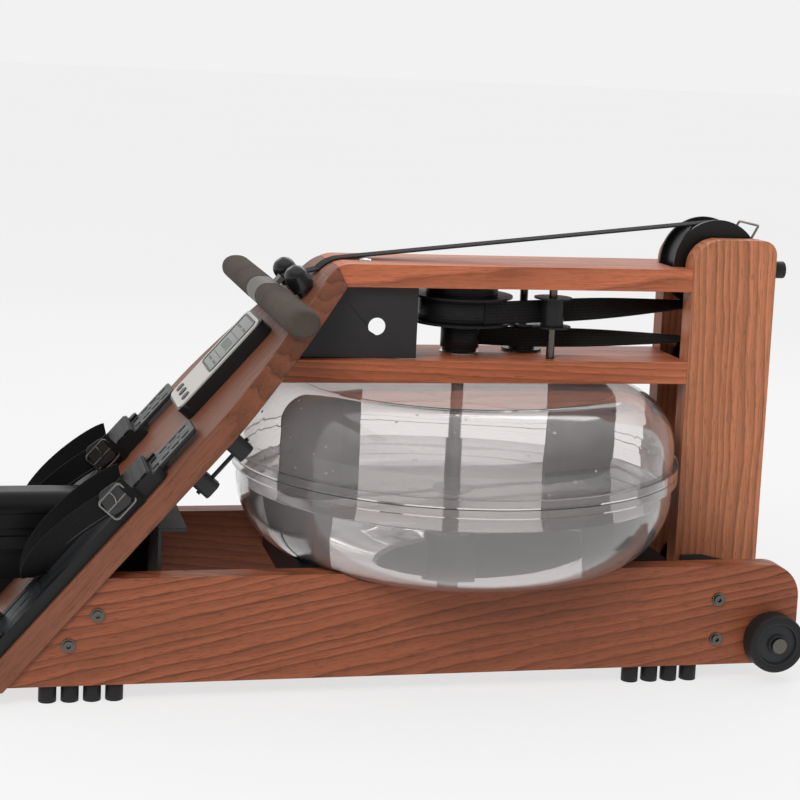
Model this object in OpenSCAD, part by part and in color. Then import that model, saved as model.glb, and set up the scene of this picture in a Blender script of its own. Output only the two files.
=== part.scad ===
// Water-resistance rowing machine: walnut boards, clear water tank, aluminium monorail.
// Millimetres, +Z up, floor at Z = 0. The rower sits at -X and faces +X; Y = 0 is the mid plane.
// Positions along X are drawn from the tank's vertical shaft and shifted as one by tank_x.

/* [Overall] */
// Length from the rear end of the rail to the front bumpers
overall_l = 2100; // [2000:10:2200]
// Distance from the tank shaft to the front face of the bumpers
front_reach = 397; // [397:1:405]

/* [Boards] */
// Thickness of every walnut board
board_t = 27; // [24:1:30]
// Half of the width over the two base boards
base_hw = 158; // [154:1:162]
// Height of a base board
base_h = 121; // [110:1:125]
// Slope of the footboard above the floor, in degrees
slope = 48.7; // [46:0.1:50]
// Half of the footboard's width at its foot
foot_hw = 163; // [160:1:170]
// Half of the width of both decks
deck_hw = 59; // [56:1:60]
// Height of the top deck's upper face
deck_top = 483; // [480:1:486]
// Height of the lower deck's upper face
lower_top = 369.5; // [368:0.5:371]
// Height of the two posts
post_top = 520.5; // [516:0.5:524]
// Radius of the rounded edge where the top deck meets the footboard
corner_r = 40; // [20:1:50]

/* [Tank] */
// Radius of the tank's clamped flange
flange_r = 273; // [270:1:274]
// Height of the flange's lower face
flange_z = 232; // [230:1:234]
// Radius of the tank's side wall
tank_r = 267; // [264:1:268]
// Wall thickness of the two shells
shell_t = 4; // [3:0.5:5]
// Height of the tank's underside
tank_z = 126; // [124:1:128]
// Height of the water in the tank
water_z = 214; // [190:1:224]

/* [Drive] */
// Radius of the strap drum on the tank shaft
drum_r = 50; // [46:1:52]
// Radius of the large pulley between the posts
top_pulley_r = 50; // [46:1:52]
// Width of the drive strap
strap_w = 28; // [24:1:30]
// Thickness of the drive strap
strap_t = 2; // [1.5:0.5:2.5]

/* [Handle] */
// Length of the handle
handle_l = 516; // [480:1:530]
// Width of the oval grip
grip_w = 38; // [34:1:40]
// Height of the oval grip
grip_h = 31; // [28:1:33]

/* [Rail and seat] */
// Height of the rail's upper face
rail_top = 205; // [203:1:207]
// Width of the rail's head
rail_w = 66; // [64:1:68]
// Where the seat stands, behind the tank shaft
seat_x = 1060; // [1000:10:1100]
// Width of the seat pad
seat_w = 300; // [260:5:320]
// Depth of the seat pad, front to back
seat_d = 236; // [220:2:250]

/* [Feet and wheels] */
// Height of the rubber feet, which is also the base boards' clearance
foot_h = 20.4; // [19:0.2:22]
// Radius of a transport wheel
wheel_r = 35; // [32:1:36]
// Height of the transport wheels' centre
wheel_z = 52; // [50:1:54]

/* [Hidden] */
$fn = 64;
eps = 0.01;
plate_in = 45;
plate_out = 48;
cable_hole = [-115, 408];
cable_hole_r = 10.5;
gap = 0.3;
run_fit = 0.05;
tank_x = overall_l / 2 - front_reach;
rear_x = front_reach - overall_l;

// Boards
base_top = foot_h + base_h;
base_front = 394;
deck_z = deck_top - board_t;
lower_z = lower_top - board_t;
post_x0 = 274;
post_x1 = 382;
post_in = deck_hw + 0.6 - board_t;
under_x = -345;
under_z = 240.5;
face_x0 = under_x - board_t * sin(slope) - (under_z + board_t * cos(slope)) / tan(slope);
corner_s = deck_top / sin(slope);
corner_x = face_x0 + corner_s * cos(slope);
function under_at(z) = under_x + (z - under_z) / tan(slope);
function on_face(s, h) = [face_x0 + s * cos(slope) - h * sin(slope), s * sin(slope) + h * cos(slope)];
taper_s = 415;
taper_pow = 1.5;
board_edge = concat(
    [[0, foot_hw]],
    [for (i = [0 : 12]) [
        taper_s + (corner_s - taper_s) * i / 12,
        foot_hw - (foot_hw - deck_hw) * pow(i / 12, taper_pow)
    ]],
    [[corner_s + 40, deck_hw]]
);

// Rail
rail_h = 101;
head_h = 63;
web_w = 44;
rail_x0 = rear_x + 6;
rail_x1 = -374;
lip_z = rail_top - head_h;

// Tank
bowl_r = 88;
dome_r = 70;
tank_lid = 338;
flange_h = 20;
shaft_r = 7.5;
blade_r0 = 124;
blade_r1 = 229;
blade_fold = 152;
blade_bend = 16;
blade_n = 2;
blade_z0 = 150;
blade_z1 = 324;
arm_z = 154;

// Drive
drum_z = 411;
drum_h = 29;
hub_r = 21;
pulley_x = 318;
pulley_z = 486;
strap_out_z = pulley_z - top_pulley_r - strap_t / 2 - gap;
strap_in_z = pulley_z + top_pulley_r + strap_t / 2 + gap;
belt_z = 389;
idler_a = [104, -38];
idler_b = [86, 22];
idler_r = 14;
axle_r = 5;
pulley_axle_r = 6;
wheel_x = 358;
wheel_axle_r = 6;
spool_r = 26;
spool_z = 362;
roller_z = 98;
cord_r = 4;
cord_z = roller_z - spool_r - cord_r;
belt_end_z = 200;

// Handle
handle_s = 563;
handle_h = 27;
knob_s = 595;
knob_y = 41;

// Foot rests
rest_y = 112;
rest_w = 84;
rest_s0 = 62;
rest_s1 = 341;
strip_w = 56;
strip_s1 = 397;

// Seat
roller_r = 15;
guide_r = 9;
axle_span = 62;
seat_fore = 330;
seat_aft = 500;

// Fasteners
bolt_xz = [[-441, 100.5], [-472, 67], [291, 100.5], [291, 52]];
foot_xs = [-493, -468.5, -444, -419.5, 190, 214.5, 239, 263.5];

// Wire bail over the top pulley: where it enters the posts, its wire and its bends
bail_x = 352;
bail_z = 505;
bail_r = 1.6;
bail_bend = 3.2;
bail_pin = 8;

walnut = [0.50, 0.29, 0.20];
soft_black = [0.08, 0.08, 0.085];
clear = [0.85, 0.88, 0.9, 0.35];

module from_tank() translate([tank_x, 0, 0]) children();

// A plate drawn in X and Z that is y0 to y1 deep
module slab(y0, y1) translate([0, y1, 0]) rotate([90, 0, 0]) linear_extrude(y1 - y0) children();

// The footboard's own frame: +X up the slope, +Z out of its face
module on_board() from_tank() translate([face_x0, 0, 0]) rotate([0, -slope, 0]) children();

module both_sides() {
    children();
    mirror([0, 1, 0]) children();
}

// What a corner of radius r takes off a plate; sx and sy point into the plate
module corner_cut(x, y, sx, sy, r) translate([x, y]) scale_sign(sx, sy) difference() {
    translate([-1, -1]) square([r + 1, r + 1]);
    translate([r, r]) circle(r);
}

module scale_sign(sx, sy) mirror([sx < 0 ? 1 : 0, 0]) mirror([0, sy < 0 ? 1 : 0]) children();

module round_plate(x, y, r) translate([-x / 2, -y / 2]) difference() {
    square([x, y]);
    corner_cut(0, 0, 1, 1, r);
    corner_cut(x, 0, -1, 1, r);
    corner_cut(0, y, 1, -1, r);
    corner_cut(x, y, -1, -1, r);
}

module y_rod(x, z, r, y0, y1) translate([x, y1, z]) rotate([90, 0, 0]) cylinder(r = r, h = y1 - y0);

// A flat band of width w and thickness t along a path; across gives its width direction at each point
module ribbon(path, across, w, t) {
    n = len(path);
    along = [for (i = [0 : n - 1]) path[min(i + 1, n - 1)] - path[max(i - 1, 0)]];
    normal = [for (i = [0 : n - 1]) let (c = cross(along[i], across[i])) c / norm(c)];
    points = [for (i = [0 : n - 1]) each [
        path[i] + across[i] * w / 2 + normal[i] * t / 2, path[i] + across[i] * w / 2 - normal[i] * t / 2,
        path[i] - across[i] * w / 2 - normal[i] * t / 2, path[i] - across[i] * w / 2 + normal[i] * t / 2
    ]];
    sides = [for (i = [0 : n - 2]) for (k = [0 : 3]) let (a = 4 * i + k, b = 4 * i + (k + 1) % 4)
        each [[a, a + 4, b + 4], [a, b + 4, b]]];
    polyhedron(points, concat([[0, 1, 2, 3], [for (k = [3 : -1 : 0]) 4 * (n - 1) + k]], sides));
}

// Walnut frame

module base_board(side) color(walnut) from_tank() difference() {
    slab(side > 0 ? base_hw - board_t : -base_hw, side > 0 ? base_hw : board_t - base_hw) difference() {
        polygon([
            [under_at(foot_h) + 1, foot_h], [under_at(base_top) + 1, base_top],
            [base_front, base_top], [base_front, foot_h]
        ]);
        corner_cut(base_front, base_top, -1, -1, 40);
        corner_cut(base_front, foot_h, -1, 1, 6);
    }
    for (p = bolt_xz) y_rod(p[0], p[1], 3.2, -200, 200);
    y_rod(wheel_x, wheel_z, wheel_axle_r + run_fit, -200, 200);
    bowl_form(0.4);
}

module base_board_right() base_board(-1);
module base_board_left() base_board(1);

// The wedge that the rounded edge between top deck and footboard takes off
module corner_wedge() {
    reach = corner_r * tan(slope / 2);
    slab(-foot_hw - 20, foot_hw + 20) difference() {
        polygon([
            [corner_x - reach * cos(slope), deck_top - reach * sin(slope)],
            [corner_x - 6, deck_top + 6], [corner_x + reach, deck_top + 6], [corner_x + reach, deck_top]
        ]);
        translate([corner_x + reach, deck_top - corner_r]) circle(corner_r);
    }
}

// Everything on the deck's side of the mitre between top deck and footboard
module beyond_mitre(shift) translate([corner_x + shift, -300, deck_top])
    rotate([0, 90 - slope / 2, 0]) translate([-400, 0, 0]) cube([800, 600, 300]);

module footboard() color([0.52, 0.31, 0.22]) difference() {
    on_board() translate([0, 0, -board_t]) linear_extrude(board_t) polygon(concat(
        board_edge, [for (i = [len(board_edge) - 1 : -1 : 0]) [board_edge[i][0], -board_edge[i][1]]]
    ));
    from_tank() beyond_mitre(0);
    from_tank() corner_wedge();
    from_tank() translate([-700, -300, -60]) cube([300, 600, 60 + foot_h - 4.4]);
    from_tank() translate([-620, -rail_w / 2 - 1, rail_top - rail_h - 1]) cube([260, rail_w + 2, rail_h + 2]);
}

module top_deck() color(walnut) from_tank() difference() {
    translate([corner_x - 30, -deck_hw, deck_z]) cube([post_x0 - corner_x + 30, 2 * deck_hw, board_t]);
    translate([0.2, 0, 0]) mirror_mitre();
    corner_wedge();
    for (p = [idler_a, idler_b]) translate([p[0], p[1], deck_z - 1]) cylinder(r = axle_r, h = 13);
    for (y = [-18, 18]) translate([-126, y, deck_z - 1]) cylinder(r = 3.2, h = board_t + 2);
    translate([pulley_x - top_pulley_r - 9, -27, deck_z - 1]) cube([40, 54, board_t + 2]);
}

module mirror_mitre() difference() {
    translate([corner_x - 200, -300, deck_top - 200]) cube([400, 600, 400]);
    beyond_mitre(0);
}

module lower_deck() color(walnut) from_tank() difference() {
    slab(-deck_hw, deck_hw) polygon([
        [under_at(lower_z) + 0.2, lower_z], [under_at(lower_top) + 0.2, lower_top],
        [post_x0, lower_top], [post_x0, lower_z]
    ]);
    translate([0, 0, lower_z - 1]) cylinder(r = 16, h = board_t + 2);
    for (p = [idler_a, idler_b]) translate([p[0], p[1], lower_top - 12]) cylinder(r = axle_r, h = 13);
}

module post(side) color([0.62, 0.39, 0.27]) from_tank() difference() {
    slab(side > 0 ? post_in : -post_in - board_t, side > 0 ? post_in + board_t : -post_in) difference() {
        translate([post_x0, 60]) square([post_x1 - post_x0, post_top - 60]);
        corner_cut(post_x0, post_top, 1, -1, 36);
        corner_cut(post_x1, post_top, -1, -1, 18);
    }
    for (z = [pulley_z, spool_z, roller_z])
        y_rod(pulley_x, z, pulley_axle_r + run_fit, -post_in - 20, post_in + 20);
    translate([post_x1 - 12, side * (post_in + board_t / 2), 484]) rotate([0, 90, 0])
        cylinder(r = 4 + run_fit, h = 20);
    y_rod(bail_x, bail_z, bail_r, -post_in - bail_pin, post_in + bail_pin);
}

module post_right() post(-1);
module post_left() post(1);

// Steelwork

// One plate a side between the two decks. The near one has a round cable hole, the far one a longer one.
module bracket_plate(hole) difference() {
    polygon([
        [under_at(lower_top + 1) + 1, lower_top + 1], [under_at(deck_z - 8) + 1, deck_z - 8],
        [under_at(deck_z - 8) + 7, deck_z - 8], [under_at(deck_z - 8) + 7, deck_z - 0.5],
        [-66, deck_z - 0.5], [-66, lower_top + 1]
    ]);
    hull() for (p = hole) translate(p) circle(cable_hole_r);
}

module bracket_plates() color([0.13, 0.13, 0.135]) from_tank() {
    slab(-plate_out, -plate_in) bracket_plate([cable_hole]);
    slab(plate_in, plate_out) bracket_plate([cable_hole, cable_hole + [26, -16]]);
}

module cross_members() color(soft_black) from_tank() {
    inner = base_hw - board_t;
    difference() {
        translate([rail_x1, -inner, 40]) cube([32, 2 * inner, 150]);
        translate([rail_x1 + 4, -inner - 1, 44]) cube([40, 2 * inner + 2, 142]);
    }
    difference() {
        translate([post_x0 - 2, -inner, 34]) cube([post_x1 - post_x0 + 4, 2 * inner, 26]);
        translate([post_x0 + 2, -inner - 1, 30]) cube([post_x1 - post_x0 - 4, 2 * inner + 2, 26]);
        y_rod(wheel_x, wheel_z, 11, -200, 200);
    }
    for (side = [-1, 1]) slab(side > 0 ? post_in + board_t : -post_in - board_t - 3,
        side > 0 ? post_in + board_t + 3 : -post_in - board_t)
        polygon([
            [post_x0 + 6, 60], [post_x1 - 6, 60], [post_x1 - 6, 112], [post_x0 + 34, 128], [post_x0 + 6, 128]
        ]);
}

// The outer form of the lower half of the tank, grown by g
module bowl_form(g, r = tank_r) rotate_extrude($fn = 96) union() {
    translate([0, tank_z - g]) square([r - bowl_r, 60]);
    translate([0, tank_z + bowl_r]) square([r + g, flange_z + 10 - tank_z - bowl_r]);
    intersection() {
        translate([r - bowl_r, tank_z + bowl_r]) circle(bowl_r + g);
        square([400, tank_z + bowl_r]);
    }
    translate([0, tank_z + bowl_r - 40]) square([r - bowl_r, 60]);
}

module cradle(x0, x1) color(soft_black) from_tank() difference() {
    inner = base_hw - board_t;
    translate([x0, -inner, 96]) cube([x1 - x0, 2 * inner, 47]);
    bowl_form(0.4);
}

module tank_cradles() {
    cradle(-212, -168);
    cradle(190, 234);
}

// Tank

module lower_profile(g) union() {
    translate([0, tank_z + g]) square([tank_r - bowl_r, flange_z - tank_z - g]);
    translate([0, tank_z + bowl_r]) square([tank_r - g, flange_z - tank_z - bowl_r]);
    intersection() {
        translate([tank_r - bowl_r, tank_z + bowl_r]) circle(bowl_r - g);
        translate([tank_r - bowl_r, tank_z]) square([bowl_r, bowl_r]);
    }
}

module upper_profile(g) union() {
    translate([0, flange_z]) square([tank_r - dome_r, tank_lid - flange_z - g]);
    translate([0, flange_z]) square([tank_r - g, tank_lid - dome_r - flange_z]);
    intersection() {
        translate([tank_r - dome_r, tank_lid - dome_r]) circle(dome_r - g);
        translate([tank_r - dome_r, tank_lid - dome_r]) square([dome_r, dome_r]);
    }
}

module tank_lower_shell() color(clear) from_tank() rotate_extrude($fn = 96) difference() {
    union() {
        lower_profile(0);
        translate([tank_r - 2, flange_z]) square([flange_r - tank_r + 2, flange_h / 2 - 0.5]);
        translate([tank_r - shell_t, flange_z - 1]) square([shell_t, flange_h / 2 + 0.5]);
    }
    difference() {
        lower_profile(shell_t);
        translate([0, tank_z]) square([16, 14]);
    }
    translate([0, flange_z - eps]) square([tank_r - shell_t, 20]);
}

module tank_upper_shell() color(clear) from_tank() difference() {
    rotate_extrude($fn = 96) difference() {
        union() {
            upper_profile(0);
            translate([tank_r - 2, flange_z + flange_h / 2 + 0.5])
                square([flange_r - tank_r + 2, flange_h / 2 - 0.5]);
        }
        upper_profile(shell_t);
        translate([0, flange_z - 1]) square([tank_r + 1, flange_h / 2 + 1.5]);
        translate([0, tank_lid - 10]) square([12, 20]);
    }
    translate([-40, 150, tank_lid - 10]) cylinder(r = 15, h = 20);
}

module tank_seal() color(soft_black) from_tank() rotate_extrude($fn = 96)
    translate([tank_r - shell_t + 0.2, flange_z + flange_h / 2 - 0.45])
    square([flange_r - tank_r + shell_t - 0.6, 0.9]);

module tank_plug() color([0.25, 0.25, 0.26]) from_tank() translate([-40, 150, 0]) {
    translate([0, 0, tank_lid - shell_t - 3]) cylinder(r = 15 - gap / 3, h = shell_t + 4);
    translate([0, 0, tank_lid + 0.1]) cylinder(r = 19, h = 3);
}

module water() color([0.75, 0.83, 0.86, 0.4]) from_tank() rotate_extrude($fn = 96) difference() {
    intersection() {
        lower_profile(shell_t + 0.4);
        translate([0, tank_z]) square([tank_r, water_z - tank_z]);
    }
    translate([0, tank_z]) square([17, 16]);
    translate([0, tank_z]) square([shaft_r + 0.6, 200]);
    translate([0, tank_z + 20]) square([blade_r1 + 1, 200]);
}

// One curved, round-cornered blade standing in a radial plane on a pair of arms
// A blade stands on its outer part and bends back by blade_bend degrees at blade_fold
module blade() {
    intersection() {
        translate([0, 0, blade_z0]) linear_extrude(blade_z1 - blade_z0) union() {
            translate([blade_fold, -2]) square([blade_r1 - blade_fold, 4]);
            translate([blade_fold, 0]) rotate(blade_bend) translate([blade_r0 - blade_fold, -2])
                square([blade_fold - blade_r0 + 0.5, 4]);
        }
        rotate([90, 0, 0]) linear_extrude(80, center = true) difference() {
            translate([0, blade_z0]) square([blade_r1, blade_z1 - blade_z0]);
            corner_cut(blade_r1, blade_z1, -1, -1, 34);
            corner_cut(blade_r1, blade_z0, -1, 1, 64);
        }
    }
    translate([0, -4, arm_z]) cube([blade_fold + 4, 8, 8]);
}

module paddle() color([0.45, 0.45, 0.46]) from_tank() {
    translate([0, 0, tank_z + 14.5]) cylinder(r = shaft_r, h = drum_z - tank_z - 14.5 - 27.5);
    translate([0, 0, arm_z]) cylinder(r = 10, h = 112);
    translate([0, 0, arm_z]) cylinder(r = 24, h = 12);
    for (i = [0 : blade_n - 1]) rotate([0, 0, 12 + i * 360 / blade_n]) blade();
}

module shaft_bearing() color([0.72, 0.71, 0.69]) from_tank() difference() {
    union() {
        translate([0, 0, lower_z]) cylinder(r = 16, h = board_t + 1.5);
        translate([0, 0, lower_top]) cylinder(r = 24, h = 2.5);
    }
    translate([0, 0, lower_z - 1]) cylinder(r = shaft_r + run_fit, h = board_t + 8);
}

// Drive

module clutch_pulley() color(soft_black) from_tank() difference() {
    union() {
        translate([0, 0, 373]) cylinder(r = hub_r, h = drum_z - 373);
        translate([0, 0, drum_z - 2.5]) cylinder(r = 62, h = 2.5);
        translate([0, 0, drum_z]) cylinder(r = drum_r, h = drum_h);
        translate([0, 0, drum_z + drum_h]) cylinder(r = 62, h = 2.5);
        translate([0, 0, drum_z + drum_h + 2.5]) cylinder(r = 44, h = 9);
    }
    translate([0, 0, 370]) cylinder(r = shaft_r + run_fit, h = 14);
}

module idler(z0, h, r, rim) difference() {
    union() {
        translate([0, 0, z0]) cylinder(r = r, h = h);
        for (z = [z0, z0 + h - 2]) translate([0, 0, z]) cylinder(r = rim, h = 2);
    }
    translate([0, 0, z0 - 1]) cylinder(r = axle_r + run_fit, h = h + 2);
}

module idler_near() color(soft_black) from_tank() translate([idler_a[0], idler_a[1], 0])
    idler(drum_z - 3, drum_h + 8, idler_r, 23);

module idler_far() color(soft_black) from_tank() translate([idler_b[0], idler_b[1], 0])
    idler(lower_top + 2, 34, idler_r + 2, 25);

module pulley_axles() color([0.3, 0.3, 0.3]) from_tank() {
    for (p = [idler_a, idler_b])
        translate([p[0], p[1], lower_top - 11]) cylinder(r = axle_r, h = deck_z - lower_top + 22);
    for (z = [pulley_z, spool_z, roller_z]) y_rod(pulley_x, z, pulley_axle_r, -post_in - 20, post_in + 20);
}

module flanged(r, rim, w, bore) difference() {
    rotate([90, 0, 0]) union() {
        translate([0, 0, -w / 2]) cylinder(r = r, h = w);
        for (z = [-w / 2, w / 2 - 4]) translate([0, 0, z]) cylinder(r = rim, h = 4);
    }
    rotate([90, 0, 0]) translate([0, 0, -w]) cylinder(r = bore + run_fit, h = 2 * w);
}

module top_pulley() color([0.16, 0.16, 0.17]) from_tank() translate([pulley_x, 0, pulley_z])
    flanged(top_pulley_r, top_pulley_r + 6, 50, 6);

module recoil_spool() color([0.16, 0.16, 0.17]) from_tank() translate([pulley_x, 0, spool_z])
    flanged(spool_r, spool_r + 6, 44, 6);

module turn_roller() color([0.16, 0.16, 0.17]) from_tank() translate([pulley_x, 0, roller_z])
    flanged(spool_r, spool_r + 6, 44, 6);

wrap_n = 18;
function wrap(cx, cz, r, a0, a1) = [for (i = [0 : wrap_n]) let (a = a0 + (a1 - a0) * i / wrap_n)
    [cx + r * cos(a), 0, cz + r * sin(a)]];
function flat(n) = [for (i = [0 : n - 1]) [0, 1, 0]];
function twist_y(n) = [for (i = [0 : n - 1]) let (a = 90 * i / (n - 1)) [0, cos(a), sin(a)]];
function line(a, b, n) = [for (i = [0 : n - 1]) a + (b - a) * i / (n - 1)];

// From the footboard's rounded edge over the top pulley, under it, and by a quarter twist to the drum
module drive_strap() color([0.1, 0.1, 0.1]) from_tank() {
    corner_c = [corner_x + corner_r * tan(slope / 2), deck_top - corner_r];
    lift = strap_t / 2 + gap;
    rise = strap_in_z - deck_top - lift;
    entry = 90 + atan(rise / (pulley_x - corner_c[0]));
    at_idler = [idler_a[0], idler_a[1] + idler_r + lift + 1, drum_z + drum_h / 2];
    off_idler = at_idler - [5.2, 0.9, 0];
    at_drum = [(drum_r + 3) * sin(17), -(drum_r + 3) * cos(17), drum_z + drum_h / 2];
    over = concat(
        wrap(corner_c[0], corner_c[1], corner_r + lift, 90 + slope, entry),
        wrap(pulley_x, pulley_z, top_pulley_r + lift, entry, -90)
    );
    twisted = line([pulley_x - 6, 0, strap_out_z], at_idler, 17);
    ribbon(
        concat(over, twisted, [off_idler, at_drum]),
        concat(flat(len(over)), twist_y(17), [[0, 0, 1], [0, 0, 1]]),
        strap_w, strap_t
    );
}

// From the handle to the rounded edge
module pull_strap() color([0.1, 0.1, 0.1]) from_tank() {
    top = on_face(corner_s - corner_r * tan(slope / 2) - 2, strap_t / 2 + gap);
    low = on_face(handle_s + 26.5, handle_h - 1);
    ribbon([[top[0], 0, top[1]], [low[0], 0, low[1]]], flat(2), strap_w, strap_t);
}

// From the hub past the far idler, by a quarter twist over the recoil spool and down to the cord
module recoil_belt() color([0.1, 0.1, 0.1]) from_tank() {
    lift = strap_t / 2 + gap;
    at_hub = [(hub_r + 1.5) * sin(12), (hub_r + 1.5) * cos(12), belt_z];
    at_idler = [idler_b[0], idler_b[1] - idler_r - 2 - lift - 0.5, belt_z];
    down = concat(
        [[pulley_x + spool_r + lift, 0, belt_end_z]],
        wrap(pulley_x, spool_z, spool_r + lift, 0, 90)
    );
    twisted = line([pulley_x - 6, 0, spool_z + spool_r + lift], at_idler, 17);
    ribbon(concat(down, twisted, [at_hub]), concat(flat(len(down)), twist_y(17), [[0, 0, 1]]), strap_w - 4, strap_t);
}

// Elastic cord from the belt's end round the turn roller and back under the tank
module shock_cord() color([0.15, 0.15, 0.15]) from_tank() {
    cord_x = pulley_x + spool_r + cord_r + gap;
    translate([cord_x, 0, roller_z]) cylinder(r = cord_r, h = belt_end_z - roller_z - 1);
    translate([pulley_x, 0, roller_z]) rotate([90, 0, 0]) rotate_extrude(angle = 0 - 90)
        translate([cord_x - pulley_x, 0]) circle(cord_r, $fn = 24);
    translate([rail_x1 + 5, 0, cord_z - gap]) rotate([0, 90, 0]) cylinder(r = cord_r, h = pulley_x - rail_x1 - 5);
}

// A quarter turn of the bail's wire about (y, z), from the angle a0
module wire_bend(y, z, a0) translate([0, y, z]) rotate([90, 0, 90]) rotate([0, 0, a0])
    rotate_extrude(angle = 90) translate([bail_bend, 0]) circle(bail_r, $fn = 24);

module strap_bail() color([0.3, 0.3, 0.3]) from_tank() translate([bail_x, 0, bail_z]) rotate([0, 28, 0]) {
    leg_y = 29;
    reach = 36;
    both_sides() {
        y_rod(0, 0, bail_r, leg_y + bail_bend, post_in + bail_pin);
        wire_bend(leg_y + bail_bend, bail_bend, 180);
        translate([0, leg_y, bail_bend]) cylinder(r = bail_r, h = reach - 2 * bail_bend);
        wire_bend(leg_y - bail_bend, reach - bail_bend, 0);
    }
    y_rod(0, reach, bail_r, bail_bend - leg_y, leg_y - bail_bend);
}

module post_bumpers() color(soft_black) from_tank() both_sides() translate([0, post_in + board_t / 2, pulley_z - 2])
    rotate([0, 90, 0]) {
        translate([0, 0, post_x1]) cylinder(r = 10.5, h = front_reach - post_x1);
        translate([0, 0, post_x1 - 11.5]) cylinder(r = 4, h = 12);
    }

// Handle

module oval(w, h, l) {
    flat_l = w - h;
    rotate([90, 0, 0]) linear_extrude(l, center = true) union() {
        square([flat_l, h], center = true);
        for (x = [-flat_l / 2, flat_l / 2]) translate([x, 0]) circle(d = h);
    }
}

module at_handle() on_board() translate([handle_s, 0, handle_h]) rotate([0, slope, 0]) children();

module handle_bar() color([0.6, 0.6, 0.6]) at_handle() rotate([90, 0, 0])
    cylinder(r = 10, h = handle_l - 12, center = true);

module handle_grips() color([0.18, 0.18, 0.18]) at_handle() both_sides() difference() {
    translate([0, 32 + (handle_l / 2 - 32) / 2, 0]) oval(grip_w, grip_h, handle_l / 2 - 32);
    rotate([-90, 0, 0]) cylinder(r = 10, h = handle_l / 2 - 6);
}

module handle_sleeve() color([0.32, 0.32, 0.32]) at_handle() difference() {
    union() {
        oval(grip_w - 1, grip_h - 1, 63.6);
        rotate([0, -slope, 0]) translate([14, -10, -4]) cube([12, 20, 6]);
    }
    rotate([90, 0, 0]) cylinder(r = 10, h = 80, center = true);
}

module handle_knobs() color(soft_black) both_sides() on_board() difference() {
    translate([knob_s, knob_y, 0]) rotate([0, 12, 0]) rotate_extrude() union() {
        translate([0, -5]) square([11, 13]);
        translate([0, 6]) square([14, 16]);
        translate([0, 22]) intersection() {
            circle(14);
            square([14, 13]);
        }
    }
    translate([knob_s - 50, knob_y - 50, -50]) cube([100, 100, 50]);
}

// Monitor

module monitor_housing() color(soft_black) on_board() translate([464, 0, 0]) linear_extrude(17)
    round_plate(144, 96, 12);

module monitor_face() color([0.75, 0.75, 0.73]) on_board() translate([464, 0, 17]) difference() {
    linear_extrude(2) round_plate(138, 90, 10);
    for (y = [-26, 0, 26]) translate([-54, y, -1]) cylinder(r = 6.2, h = 4);
}

module button(y) color([0.3, 0.3, 0.3]) on_board() translate([464 - 54, y, 17.9])
    cylinder(r = 6.2 - run_fit * 3, h = 2.3);

module button_left() button(26);
module button_middle() button(0);
module button_right() button(-26);

// Foot rests

module foot_base() on_board() translate([0, rest_y, 0]) {
    difference() {
        translate([(rest_s0 + rest_s1) / 2, 0, 0]) linear_extrude(14) round_plate(rest_s1 - rest_s0, rest_w, 8);
        translate([rest_s0 - 1, -strip_w / 2 - 0.5, 6]) cube([rest_s1 - rest_s0 + 2, strip_w + 1, 20]);
    }
    translate([292, -rest_w / 2, 12]) cube([38, rest_w, 7]);
}

module foot_base_right() color(soft_black) mirror([0, 1, 0]) foot_base();
module foot_base_left() color(soft_black) foot_base();

// The sliding foot plate: a slotted strip that carries the heel cup
module heel_slide() on_board() translate([0, rest_y, 6.3]) {
    difference() {
        translate([70, -strip_w / 2, 0]) cube([strip_s1 - 70, strip_w, 5]);
        for (s = [352 : 10 : 384]) for (y = [-12, 12]) translate([s, y - 3, -1]) cube([6, 6, 7]);
    }
    difference() {
        translate([70, 0, 0]) intersection() {
            translate([30, 0, 0]) cylinder(r = 44, h = 52);
            translate([-20, -39, 0]) cube([64, 78, 52]);
        }
        translate([104, 0, 5]) cylinder(r = 38, h = 60);
        translate([100, -60, 9]) cube([60, 120, 60]);
        for (y = [-60, strip_w / 2]) translate([40, y, -1]) cube([80, 60 - strip_w / 2, 9.7]);
    }
}

module heel_slide_right() color([0.2, 0.2, 0.2]) mirror([0, 1, 0]) heel_slide();
module heel_slide_left() color([0.2, 0.2, 0.2]) heel_slide();

// The toe strap stands on its edge beside the foot base, and its loop lies over downslope
strap_out = 45.5;
strap_drop = 140;
strap_lie = 52;

module toe_strap() on_board() translate([0, rest_y, 0]) {
    turns = [for (i = [0 : 24]) 180 * i / 24];
    route = [for (a = turns) [
        296 - strap_drop * pow(sin(a), 1.3), strap_out * cos(a), 21 + 17 * abs(sin(2 * a)) + 4 * sin(a)
    ]];
    across = [for (a = turns) let (t = strap_lie * pow(sin(a), 2)) [0 - sin(t), 0, cos(t)]];
    ribbon(route, across, 36, 2.2);
}
module toe_strap_right() color([0.12, 0.12, 0.12]) mirror([0, 1, 0]) toe_strap();
module toe_strap_left() color([0.12, 0.12, 0.12]) toe_strap();

module underside_catch() color([0.35, 0.36, 0.36]) on_board() {
    for (s = [356, 412]) translate([s, -105, -board_t]) mirror([0, 0, 1]) linear_extrude(34) round_plate(22, 26, 7);
    translate([342, -105, -board_t - 24]) rotate([0, 90, 0]) cylinder(r = 2.5, h = 84);
}

// Fasteners, feet, wheels

module frame_bolts() color([0.2, 0.2, 0.2]) from_tank() both_sides() for (p = bolt_xz)
    translate([p[0], base_hw, p[1]]) rotate([-90, 0, 0]) difference() {
        union() {
            translate([0, 0, -board_t + 1]) cylinder(r = 3.2, h = board_t - 1);
            cylinder(r = 7.8, h = 2);
            cylinder(r = 5.6, h = 4.4);
        }
        translate([0, 0, 1.5]) cylinder(r = 2.9, h = 4, $fn = 6);
    }

module rubber_feet() color(soft_black) from_tank() {
    both_sides() for (x = foot_xs) translate([x, base_hw - board_t / 2, 0]) cylinder(r = 10, h = foot_h);
    both_sides() translate([rear_x + 75, 128, 0]) cylinder(r = 14, h = foot_h);
}

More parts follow.
